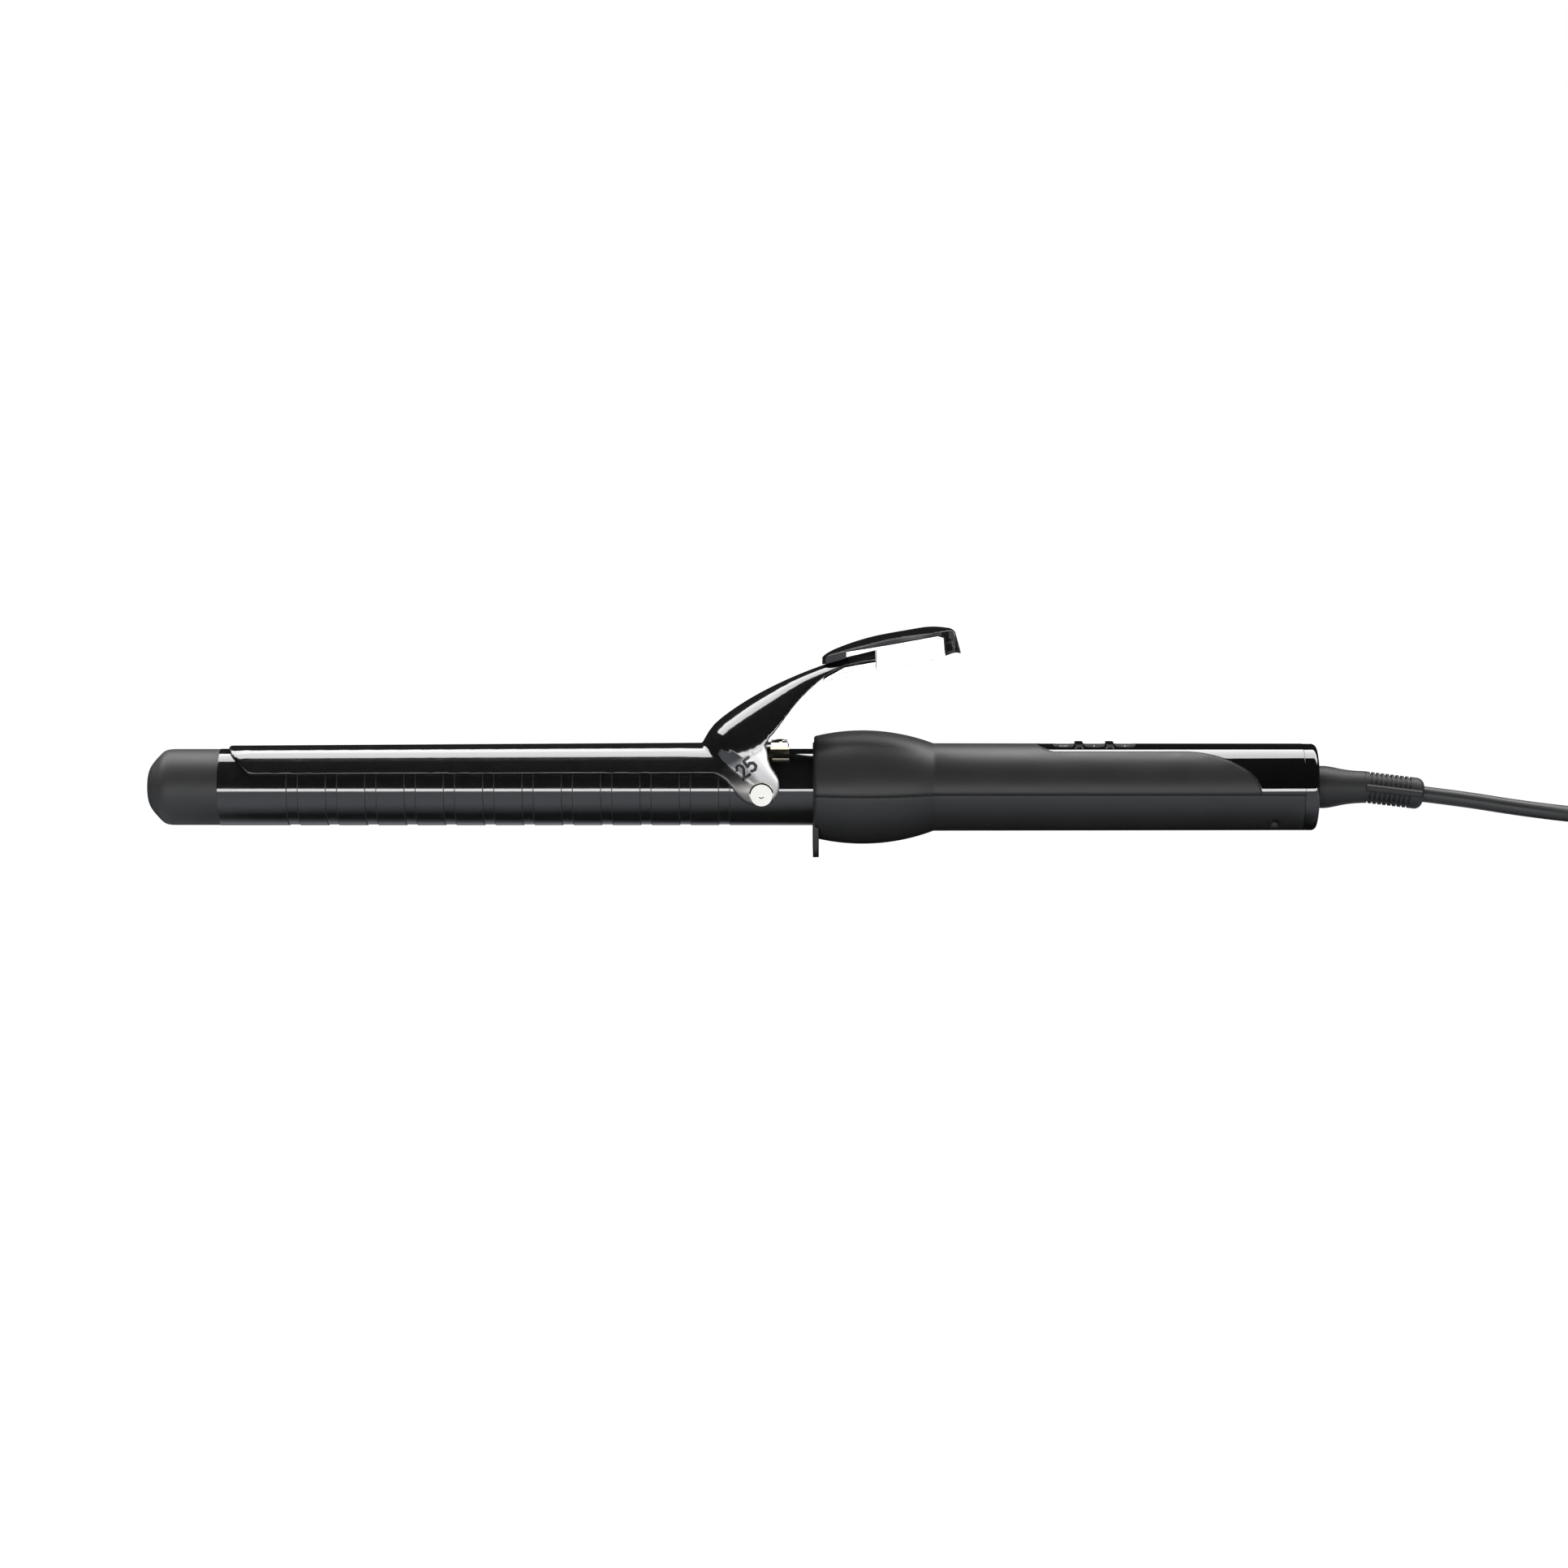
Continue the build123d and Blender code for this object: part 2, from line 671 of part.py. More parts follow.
with BuildPart() as handle_lower:
    add(half_shell(top=False))
    with BuildSketch(Plane.XY.offset(-SEAM)):
        with Locations((HANDLE_SCREW_X, HANDLE_SCREW_Y), (HANDLE_SCREW_X, -HANDLE_SCREW_Y)):
            Circle(BOSS_R)
    extrude(amount=-8.0)
    with BuildSketch(Plane.XY):
        with Locations((HANDLE_SCREW_X, HANDLE_SCREW_Y), (HANDLE_SCREW_X, -HANDLE_SCREW_Y)):
            Circle(1.3)
    extrude(amount=-20, mode=Mode.SUBTRACT)
    with BuildSketch(Plane.XY.offset(-7.4)):
        with Locations((HANDLE_SCREW_X, HANDLE_SCREW_Y), (HANDLE_SCREW_X, -HANDLE_SCREW_Y)):
            Circle(COUNTERBORE_R)
    extrude(amount=-20, mode=Mode.SUBTRACT)
    # slot for the foot
    with BuildSketch(Plane.YZ.offset(-1)):
        with Locations((0, -20)):
            Rectangle(2 * FOOT_HALF_WIDTH + 0.2, 24)
    extrude(amount=1 + FOOT_FRONT_X + FOOT_THICK + 0.1, mode=Mode.SUBTRACT)
write(handle_lower.part, "handle_lower")

with BuildPart() as handle_screws:
    for y in (HANDLE_SCREW_Y, -HANDLE_SCREW_Y):
        with BuildSketch(Plane.XY.offset(-9.2)):
            with Locations((HANDLE_SCREW_X, y)):
                Circle(1.6)
        extrude(amount=1.7)
        with BuildSketch(Plane.XY.offset(-7.5)):
            with Locations((HANDLE_SCREW_X, y)):
                Circle(1.0)
        extrude(amount=13.5)
        with BuildSketch(Plane.XY.offset(-9.2)):
            with Locations((HANDLE_SCREW_X, y)):
                Rectangle(1.8, 0.45)
                Rectangle(0.45, 1.8)
        extrude(amount=0.8, mode=Mode.SUBTRACT)
write(handle_screws.part, "handle_screws")

with BuildPart() as gloss_cover:
    add(cover_zone(COVER_IN_R, COVER_OUT_R))
    # raised bars between the buttons
    separators = [(x + 5.0, 0) for x in list(BUTTON_XS.values())[:2]]
    with BuildSketch(Plane.XY.offset(13.2)):
        with Locations(*separators):
            RectangleRounded(2.6, 7.6, 0.9)
    extrude(amount=COVER_OUT_R + 0.4 - 13.2)
    with BuildSketch(Plane.XY.offset(8)):
        with Locations(*button_places):
            RectangleRounded(BUTTON_LENGTH + 2 * BUTTON_GAP, 2 * (BUTTON_HALF_WIDTH + BUTTON_GAP), 3.0)
    extrude(amount=10, mode=Mode.SUBTRACT)
write(gloss_cover.part, "gloss_cover")

with BuildPart() as rest_foot:
    with BuildSketch(Plane.YZ.offset(FOOT_FRONT_X)):
        Circle(14.6)
        with Locations((0, -FOOT_DROP - 0.5 + 8.0)):
            RectangleRounded(2 * FOOT_HALF_WIDTH, 16.0, 3.0)
        Circle(BARREL_R + 0.06, mode=Mode.SUBTRACT)
    extrude(amount=FOOT_THICK)
    # cut level with the table
    with BuildSketch(Plane.XZ):
        with BuildLine():
            front = FOOT_FRONT_X - 2
            back = FOOT_FRONT_X + FOOT_THICK + 2
            slope = tan(radians(TILT))
            level = LIFT / cos(radians(TILT))
            Polyline(
                (front, front * slope - level),
                (back, back * slope - level),
                (back, -40),
                (front, -40),
                close=True,
            )
        make_face()
    extrude(amount=20, both=True, mode=Mode.SUBTRACT)
write(rest_foot.part, "rest_foot")

with BuildPart() as end_ring:
    with BuildSketch(Plane.XZ):
        with BuildLine():
            Line((HANDLE_BACK_X + 0.05, HANDLE_BACK_R), (RING_REST_X, HANDLE_BACK_R))
            ThreePointArc(
                (RING_REST_X, HANDLE_BACK_R),
                (RING_BACK_X - 0.5, HANDLE_BACK_R - 0.5),
                (RING_BACK_X, HANDLE_BACK_R - 1.7),
            )
            Polyline(
                (RING_BACK_X, HANDLE_BACK_R - 1.7),
                (RING_BACK_X, RING_HOLE_R),
                (RING_BACK_X - 2.2, RING_HOLE_R),
                (RING_BACK_X - 2.2, 10.2),
                (153.0, 10.2),
                (153.0, 11.8),
                (HANDLE_BACK_X + 0.05, 11.8),
                (HANDLE_BACK_X + 0.05, HANDLE_BACK_R),
            )
        make_face()
    revolve(axis=Axis.X)
write(end_ring.part, "end_ring")

# ---------------------------------------------------------------- buttons and electronics
STEM_FOOT_Z = 6.2
FLANGE_Z = 9.4
for name, x in BUTTON_XS.items():
    with BuildPart() as button:
        with BuildSketch(Plane.XY.offset(FLANGE_Z)):
            with Locations((x, 0)):
                RectangleRounded(BUTTON_LENGTH, 2 * BUTTON_HALF_WIDTH, 2.85)
        extrude(amount=6)
        with BuildSketch(Plane.YZ.offset(x - 6)):
            Circle(COVER_OUT_R - 0.05)
        extrude(amount=12, mode=Mode.INTERSECT)
        with BuildSketch(Plane.XZ):
            with Locations((x, COVER_OUT_R + 9.4)):
                Circle(10.0)
        extrude(amount=10, both=True, mode=Mode.SUBTRACT)
        with BuildSketch(Plane.XY.offset(FLANGE_Z)):
            with Locations((x, 0)):
                RectangleRounded(BUTTON_LENGTH + 1.6, 2 * BUTTON_HALF_WIDTH + 1.6, 3.2)
        extrude(amount=1.0)
        with BuildSketch(Plane.XY.offset(STEM_FOOT_Z)):
            with Locations((x, 0)):
                Circle(1.3)
        extrude(amount=FLANGE_Z - STEM_FOOT_Z)
    write(button.part, name)

BOARD_Z = 1.5
BOARD_THICK = 1.6
BOARD_TOP = BOARD_Z + BOARD_THICK
with BuildPart() as circuit_board:
    with BuildSketch(Plane.XY.offset(BOARD_Z)):
        with Locations((107.0, 0)):
            RectangleRounded(66.0, 20.0, 1.0)
        with GridLocations(58.0, 15.0, 2, 2):
            with Locations((107.0, 0)):
                Circle(1.0, mode=Mode.SUBTRACT)
    extrude(amount=BOARD_THICK)
write(circuit_board.part, "circuit_board")

with BuildPart() as tact_switches:
    with BuildSketch(Plane.XY.offset(BOARD_TOP)):
        with Locations(*button_places):
            Rectangle(6.0, 6.0)
    extrude(amount=1.9)
    with BuildSketch(Plane.XY.offset(BOARD_TOP + 1.9)):
        with Locations(*button_places):
            Circle(1.7)
    extrude(amount=0.5)
write(tact_switches.part, "tact_switches")

with BuildPart() as board_components:
    with BuildSketch(Plane.XY.offset(BOARD_Z)):
        with Locations((125.0, 3.0)):
            Rectangle(15.0, 7.0)
        with Locations((112.0, -3.5)):
            Rectangle(7.0, 10.0)
        with Locations((82.0, 0)):
            Rectangle(9.0, 8.0)
    extrude(amount=-5.5)
    with BuildSketch(Plane.XY.offset(BOARD_Z)):
        with Locations((97.0, 3.5)):
            Circle(4.0)
    extrude(amount=-6.5)
    with BuildSketch(Plane.XY.offset(BOARD_TOP)):
        with Locations((114.0, -5), (118.0, -5), (122.0, -5), (126.0, -5)):
            Rectangle(2.0, 1.25)
        with Locations((130.0, -3)):
            Rectangle(7.0, 7.0)
    extrude(amount=1.0)
write(board_components.part, "board_components")

with BuildPart() as swivel_socket:
    with BuildSketch(Plane.YZ.offset(153.4)):
        Circle(10.0)
        Circle(4.7, mode=Mode.SUBTRACT)
    extrude(amount=3.4)
    with BuildSketch(Plane.YZ.offset(147.0)):
        with Locations((0, 7.5), (0, -7.5)):
            Rectangle(2.4, 0.8)
    extrude(amount=6.6)
write(swivel_socket.part, "swivel_socket")

with BuildPart() as supply_leads:
    for side in (-1, 1):
        start = (147.0, 0.0, side * 5.9)
        with BuildLine():
            lead = FilletPolyline(
                start,
                (141.0, 0.0, side * 5.9),
                (134.0, side * 4.0, side * 1.6 + 2.3),
                (128.0, side * 4.0, side * 1.6 + 2.3),
                radius=2.5,
            )
        with BuildSketch(Plane(origin=start, z_dir=(-1, 0, 0))):
            Circle(LEAD_R)
        sweep(path=lead)
write(supply_leads.part, "supply_leads")

# ================================================================ swivel and cord
with BuildPart() as swivel_hub:
    with BuildSketch(Plane.XZ):
        with BuildLine():
            Polyline(
                (153.6, 0),
                (153.6, 4.5),
                (157.6, 4.5),
                (157.6, 9.6),
                (RING_BACK_X - 2.4, 9.6),
                (RING_BACK_X - 2.4, RING_HOLE_R - 0.08),
                (RING_BACK_X + 0.35, RING_HOLE_R - 0.08),
                (RING_BACK_X + 0.35, 4.0),
                (170.0, 4.0),
                (170.0, 0),
                close=True,
            )
        make_face()
    revolve(axis=Axis.X)
write(swivel_hub.part, "swivel_hub")

RIB_PITCH = 1.6
RIB_DEPTH = 0.75
RIB_COUNT = 9
droop = radians(RELIEF_DROOP)
DROOP_PLANE = Plane(
    origin=(RELIEF_WAIST_X, 0, 0), x_dir=(cos(droop), 0, -sin(droop)), z_dir=(0, -1, 0)
)
with BuildPart() as strain_relief:
    with BuildSketch(Plane.XZ):
        with BuildLine():
            flare = Spline(
                (RING_BACK_X + 2.6, RELIEF_ROOT_R),
                (172.0, 5.9),
                (RELIEF_WAIST_X, RELIEF_WAIST_R),
                tangents=[(1, -0.06), (1, -0.02)],
            )
            Polyline(
                flare @ 1,
                (RELIEF_WAIST_X, 0),
                (170.05, 0),
                (170.05, 4.0),
                (RING_BACK_X + 0.4, 4.0),
                (RING_BACK_X + 0.4, RELIEF_ROOT_R),
                flare @ 0,
            )
        make_face()
    revolve(axis=Axis.X)
    with BuildSketch(DROOP_PLANE):
        with BuildLine():
            Line((-0.4, 0), (-0.4, RELIEF_WAIST_R - 0.05))
            Line((-0.4, RELIEF_WAIST_R - 0.05), (16.8, RELIEF_WAIST_R - 0.1))
            nose = ThreePointArc((16.8, RELIEF_WAIST_R - 0.1), (18.6, 4.2), (RELIEF_RIBBED, 2.9))
            Polyline(nose @ 1, (RELIEF_RIBBED, 0), (-0.4, 0))
        make_face()
        with Locations([(1.4 + RIB_PITCH * n, RELIEF_WAIST_R) for n in range(RIB_COUNT)]):
            Rectangle(RIB_PITCH / 2, 2 * RIB_DEPTH, mode=Mode.SUBTRACT)
    revolve(axis=Axis((RELIEF_WAIST_X, 0, 0), (cos(droop), 0, -sin(droop))))
    # smooth bars along both sides of the ribs
    with BuildSketch(Plane(origin=(RELIEF_WAIST_X, 0, 0), x_dir=(0, 1, 0),
                           z_dir=(cos(droop), 0, -sin(droop)))):
        with Locations((4.4, 0.6), (-4.4, 0.6)):
            RectangleRounded(2.6, 2.4, 1.1)
    extrude(amount=18.2)
write(strain_relief.part, "strain_relief")

# ---------------------------------------------------------------- cord on the table
# Everything from here on is drawn where it lies: X along the iron, Z up from the table.
relief_end = Location(
    (RELIEF_WAIST_X + RELIEF_RIBBED * cos(droop), 0, -RELIEF_RIBBED * sin(droop))
)
exit_at = (RESTING * relief_end).position
exit_way = Vector(cos(droop + radians(TILT)), 0, -sin(droop + radians(TILT)))
WHERE_DRAWN = Location((0, 0, 0))

TIE_THICK = 1.1
HANK_TURN_R = 21.0
TURN_PITCH = 5.3
HANK_COLUMNS = 2
HANK_LAYERS = 3
HANK_FRONT_X = 289.0
HANK_BACK_X = 385.0
HANK_BOTTOM_Z = TIE_THICK + 0.1
HANK_TOP_Z = HANK_BOTTOM_Z + CORD_D + (HANK_LAYERS - 1) * TURN_PITCH
PLUG_FRONT_X = 466.0
PLUG_THICK = 13.7

LEAD_ROUTE = [
    tuple(exit_at - exit_way * 1.0),
    tuple(exit_at + exit_way * 13.5),
    (236.0, -1.5, 4.9),
    (250.5, -5.0, 2.9),
    (261.5, -12.5, 2.6),
    (270.5, -19.2, 3.0),
    (282.5, -22.6, 3.6),
    (297.0, -20.9, 3.8),
]
TAIL_ROUTE = [
    (362.0, -15.7, 16.0),
    (376.0, -15.9, 18.4),
    (391.0, -15.9, 20.0),
    (405.0, -14.6, 18.8),
    (418.0, -11.2, 14.8),
    (431.0, -7.0, 10.6),
    (444.0, -3.2, 7.7),
    (456.0, -0.7, 6.95),
    (468.0, 0.0, 6.85),
]


def corner_radii(route):
    """The radius of each corner: 0.45 of its shorter run over the tangent of half its turn."""
    radii = []
    for before, here, after in zip(route, route[1:], route[2:]):
        arriving = Vector(*here) - Vector(*before)
        leaving = Vector(*after) - Vector(*here)
        turn = radians(arriving.get_angle(leaving))
        shorter = min(arriving.length, leaving.length)
        radii.append(0.45 * shorter / tan(turn / 2))
    return radii


for name, route in (("cord", LEAD_ROUTE), ("cord_tail", TAIL_ROUTE)):
    radii = corner_radii(route)
    print(name, "corner radii", [round(r) for r in radii])
    with BuildPart() as tube:
        with BuildLine():
            line = FilletPolyline(*route, radius=radii)
        with BuildSketch(Plane(origin=line @ 0, z_dir=line % 0)):
            Circle(CORD_R)
        sweep(path=line)
    print(name, "length", round(line.length, 1), "volume", round(tube.part.volume / (pi * CORD_R**2), 1))
    write(tube.part, name, WHERE_DRAWN)

with BuildPart() as cord_hank:
    hank_outer = HANK_TURN_R + CORD_R
    hank_inner = hank_outer - CORD_D - (HANK_COLUMNS - 1) * TURN_PITCH
    with BuildSketch(Plane.XY.offset(HANK_BOTTOM_Z)):
        with Locations(((HANK_FRONT_X + HANK_BACK_X) / 2, 0)):
            SlotCenterToCenter(HANK_BACK_X - HANK_FRONT_X, 2 * hank_outer)
            SlotCenterToCenter(HANK_BACK_X - HANK_FRONT_X, 2 * hank_inner, mode=Mode.SUBTRACT)
    extrude(amount=HANK_TOP_Z - HANK_BOTTOM_Z)
write(cord_hank.part, "cord_hank", WHERE_DRAWN)

TIE_WIDTH = 12.0
with BuildPart() as cord_tie:
    tie_inner = hank_outer + 0.1
    tie_middle_z = (HANK_BOTTOM_Z + HANK_TOP_Z) / 2
    tie_inner_height = HANK_TOP_Z - HANK_BOTTOM_Z + 0.2
    with BuildSketch(Plane.YZ.offset((HANK_FRONT_X + HANK_BACK_X - TIE_WIDTH) / 2)):
        with Locations((0, tie_middle_z)):
            RectangleRounded(2 * (tie_inner + TIE_THICK), tie_inner_height + 2 * TIE_THICK, 2.2)
            Rectangle(2 * tie_inner, tie_inner_height, mode=Mode.SUBTRACT)
    extrude(amount=TIE_WIDTH)
write(cord_tie.part, "cord_tie", WHERE_DRAWN)

PLUG_BOOT = 20.0
PLUG_LENGTH = 35.3
PLUG_HALF_WIDTH = 13.0
PLUG_AXIS_Z = PLUG_THICK / 2
PIN_R = 2.0
PIN_LENGTH = 19.0
PIN_SPACING = 18.6
with BuildPart() as plug_body:
    body_front = PLUG_FRONT_X + PLUG_BOOT
    with BuildSketch(Plane.XY):
        with BuildLine():
            Polyline(
                (body_front - 1.0, 6.2),
                (body_front + 16.0, PLUG_HALF_WIDTH),
                (body_front + PLUG_LENGTH, PLUG_HALF_WIDTH - 0.5),
                (body_front + PLUG_LENGTH, 0.5 - PLUG_HALF_WIDTH),
                (body_front + 16.0, -PLUG_HALF_WIDTH),
                (body_front - 1.0, -6.2),
                close=True,
            )
        make_face()
        fillet(vertices(), 3.6)
    extrude(amount=PLUG_THICK)
    fillet(plug_body.edges().group_by(Axis.Z)[0], 2.0)
    fillet(plug_body.edges().group_by(Axis.Z)[-1], 2.0)
    with BuildSketch(Plane.XZ):
        with BuildLine():
            Polyline(
                (PLUG_FRONT_X, PLUG_AXIS_Z),
                (PLUG_FRONT_X, PLUG_AXIS_Z + 3.6),
                (body_front + 1.0, PLUG_AXIS_Z + 4.9),
                (body_front + 1.0, PLUG_AXIS_Z),
                close=True,
            )
        make_face()
        with Locations([(PLUG_FRONT_X + 4.0 + 3.0 * n, PLUG_AXIS_Z + 4.6) for n in range(5)]):
            Rectangle(1.2, 2.6, mode=Mode.SUBTRACT)
    revolve(axis=Axis((PLUG_FRONT_X, 0, PLUG_AXIS_Z), (1, 0, 0)))
write(plug_body.part, "plug_body", WHERE_DRAWN)

with BuildPart() as plug_pins:
    pins_front = PLUG_FRONT_X + PLUG_BOOT + PLUG_LENGTH
    pin_places = [(PIN_SPACING / 2, PLUG_AXIS_Z), (-PIN_SPACING / 2, PLUG_AXIS_Z)]
    with BuildSketch(Plane.YZ.offset(pins_front)):
        with Locations(*pin_places):
            Circle(PIN_R)
    extrude(amount=PIN_LENGTH)
    chamfer(plug_pins.edges().group_by(Axis.X)[-1], 0.8)
    with BuildSketch(Plane.YZ.offset(pins_front - 8.0)):
        with Locations(*pin_places):
            Circle(PIN_R - 0.5)
    extrude(amount=8.0)
write(plug_pins.part, "plug_pins", WHERE_DRAWN)
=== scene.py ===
import json
from math import cos, pi, radians, sin

import bpy
from mathutils import Matrix, Vector


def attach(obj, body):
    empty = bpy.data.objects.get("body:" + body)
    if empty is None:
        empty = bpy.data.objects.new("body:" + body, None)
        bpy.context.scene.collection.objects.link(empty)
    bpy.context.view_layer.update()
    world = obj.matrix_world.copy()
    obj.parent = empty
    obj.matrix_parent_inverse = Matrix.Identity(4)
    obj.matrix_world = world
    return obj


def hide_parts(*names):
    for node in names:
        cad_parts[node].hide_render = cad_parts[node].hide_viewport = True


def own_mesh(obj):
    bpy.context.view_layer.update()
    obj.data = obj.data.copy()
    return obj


# Curling iron on a white table. Metres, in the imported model's frame: X along the iron towards
# its cord, Z up from the table. Places on the iron are given in its own frame instead, with
# the origin on the barrel's axis at the handle's front face, and go through on_iron().

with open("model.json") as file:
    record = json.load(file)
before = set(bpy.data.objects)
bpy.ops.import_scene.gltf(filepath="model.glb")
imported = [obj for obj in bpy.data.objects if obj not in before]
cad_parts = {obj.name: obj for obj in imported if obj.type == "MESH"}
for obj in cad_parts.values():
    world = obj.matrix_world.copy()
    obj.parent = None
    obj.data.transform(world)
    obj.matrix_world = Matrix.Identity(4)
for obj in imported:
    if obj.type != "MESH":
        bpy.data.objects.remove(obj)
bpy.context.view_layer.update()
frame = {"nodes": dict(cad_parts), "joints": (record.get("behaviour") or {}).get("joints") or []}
nodes = frame["nodes"]

MM = 0.001
SWIVEL = next(j for j in frame["joints"] if j["name"] == "cord_swivel")
AXIS = Vector(SWIVEL["axis"]).normalized()
UPRIGHT = Vector((-AXIS.z, 0, AXIS.x))
# the swivel turns on the barrel's axis, this far behind the handle's front face
SWIVEL_X = 160
ORIGIN = Vector(SWIVEL["pos_m"]) - AXIS * SWIVEL_X * MM


def on_iron(x, y, z):
    """A place in the row frame, in metres, from the iron's own millimetres."""
    return ORIGIN + AXIS * (x * MM) + Vector((0, y * MM, 0)) + UPRIGHT * (z * MM)


# ---------------------------------------------------------------- camera
CAMERA_RISE = radians(9.9)
CAMERA_DISTANCE = 1.5
CAMERA_LENS = 105.6
SENSOR_WIDTH = 36
AIM = on_iron(-9.8, 0, 1.0)


def add_camera():
    """Looks level along the iron, so it rolls with the iron's small tilt."""
    back = Vector((0, -cos(CAMERA_RISE), 0)) + UPRIGHT * sin(CAMERA_RISE)
    up = Vector((0, sin(CAMERA_RISE), 0)) + UPRIGHT * cos(CAMERA_RISE)
    turn = Matrix((AXIS, up, back)).transposed()
    data = bpy.data.cameras.new("camera")
    data.lens = CAMERA_LENS
    data.sensor_width = SENSOR_WIDTH
    camera = bpy.data.objects.new("camera", data)
    camera.matrix_world = Matrix.Translation(AIM + back * CAMERA_DISTANCE) @ turn.to_4x4()
    bpy.context.scene.collection.objects.link(camera)
    bpy.context.scene.camera = camera


add_camera()


# ---------------------------------------------------------------- materials
class Shader:
    """A material under construction: a Principled BSDF and short helpers for its nodes."""

    def __init__(self, name, color, roughness, metallic=0.0, **sockets):
        self.material = bpy.data.materials.new(name)
        self.material.use_nodes = True
        self.tree = self.material.node_tree
        self.bsdf = self.tree.nodes["Principled BSDF"]
        self.set("Base Color", (*color, 1))
        self.set("Roughness", roughness)
        self.set("Metallic", metallic)
        for socket, value in sockets.items():
            self.set(socket.replace("_", " "), value)
        self.material.diffuse_color = (*color, 1)

    def set(self, socket, value):
        self.bsdf.inputs[socket].default_value = value

    def node(self, kind, **values):
        made = self.tree.nodes.new("ShaderNode" + kind)
        for name, value in values.items():
            setattr(made, name, value)
        return made

    def link(self, output, target):
        self.tree.links.new(output, target)

    def place(self):
        """Object coordinates in metres, which are the row frame's."""
        return self.node("TexCoord").outputs["Object"]

    def iron_place(self):
        """The same place in the iron's own millimetres, as separate X, Y and Z outputs."""
        row = self.place()
        outputs = []
        for direction, offset in (
            (AXIS, AXIS.dot(ORIGIN)), (Vector((0, 1, 0)), 0.0), (UPRIGHT, UPRIGHT.dot(ORIGIN)),
        ):
            dot = self.node("VectorMath", operation="DOT_PRODUCT")
            self.link(row, dot.inputs[0])
            dot.inputs[1].default_value = direction / MM
            outputs.append(self.math("SUBTRACT", dot.outputs["Value"], offset / MM))
        return outputs

    def math(self, operation, a, b=0.0, clamp=False):
        made = self.node("Math", operation=operation, use_clamp=clamp)
        for socket, value in zip(made.inputs, (a, b)):
            if isinstance(value, (int, float)):
                socket.default_value = value
            else:
                self.link(value, socket)
        return made.outputs[0]

    def noise(self, scale_mm, detail=2.0, stretch=(1, 1, 1), rough=0.5):
        """Noise whose features are about scale_mm across, stretched along the row's axes."""
        mapping = self.node("Mapping")
        mapping.inputs["Scale"].default_value = [1 / s for s in stretch]
        self.link(self.place(), mapping.inputs["Vector"])
        made = self.node("TexNoise")
        made.inputs["Scale"].default_value = 1 / (scale_mm * MM)
        made.inputs["Detail"].default_value = detail
        made.inputs["Roughness"].default_value = rough
        self.link(mapping.outputs["Vector"], made.inputs["Vector"])
        return made.outputs["Fac"]

    def between(self, value, low, high, start=0.0, end=1.0):
        """Maps value from start..end to low..high, held at both ends."""
        made = self.node("MapRange", clamp=True)
        self.link(value, made.inputs["Value"])
        for socket, number in zip(list(made.inputs)[1:5], (start, end, low, high)):
            socket.default_value = number
        return made.outputs["Result"]

    def mix_color(self, factor, a, b):
        made = self.node("Mix", data_type="RGBA")
        self.link(factor, made.inputs[0])
        for socket, value in ((made.inputs[6], a), (made.inputs[7], b)):
            if isinstance(value, tuple):
                socket.default_value = (*value, 1)
            else:
                self.link(value, socket)
        return made.outputs[2]

    def raised(self, height, depth_mm, after=None, invert=False):
        """The normal of a surface that height raises by depth_mm, or sinks if inverted."""
        made = self.node("Bump", invert=invert)
        made.inputs["Distance"].default_value = depth_mm * MM
        made.inputs["Strength"].default_value = 1.0
        self.link(height, made.inputs["Height"])
        if after is not None:
            self.link(after, made.inputs["Normal"])
        return made.outputs["Normal"]

    def bump(self, height, depth_mm, after=None):
        """Raises the material's own surface, and gives the normal for the next bump."""
        normal = self.raised(height, depth_mm, after)
        self.link(normal, self.bsdf.inputs["Normal"])
        return normal

    def rounded(self, radius_mm):
        """Rounds the edges in the shading, as paint or a mould's corner would."""
        made = self.node("Bevel", samples=6)
        made.inputs["Radius"].default_value = radius_mm * MM
        return made.outputs["Normal"]

    def stroke_distance(self, across, up, lines):
        """How far a place is, in millimetres, from the nearest of some drawn lines."""
        place = self.node("CombineXYZ")
        self.link(across, place.inputs[0])
        self.link(up, place.inputs[1])
        nearest = None
        for line in lines:
            for a, b in zip(line, line[1:]):
                a, b = Vector((*a, 0)), Vector((*b, 0))
                from_a = self.node("VectorMath", operation="SUBTRACT")
                self.link(place.outputs[0], from_a.inputs[0])
                from_a.inputs[1].default_value = a
                along = self.node("VectorMath", operation="DOT_PRODUCT")
                self.link(from_a.outputs[0], along.inputs[0])
                along.inputs[1].default_value = (b - a) / (b - a).length_squared
                share = self.math("ADD", along.outputs["Value"], 0.0, clamp=True)
                foot = self.node("VectorMath", operation="SCALE")
                foot.inputs[0].default_value = b - a
                self.link(share, foot.inputs["Scale"])
                away = self.node("VectorMath", operation="DISTANCE")
                self.link(from_a.outputs[0], away.inputs[0])
                self.link(foot.outputs[0], away.inputs[1])
                far = away.outputs["Value"]
                nearest = far if nearest is None else self.math("MINIMUM", nearest, far)
        return nearest

    def tint(self, factor, a, b):
        self.link(self.mix_color(factor, a, b), self.bsdf.inputs["Base Color"])

    def gloss(self, factor, low, high):
        self.link(self.between(factor, low, high), self.bsdf.inputs["Roughness"])


def grey(value, warm=0.0):
    return (value * (1 + warm), value, value * (1 - warm))


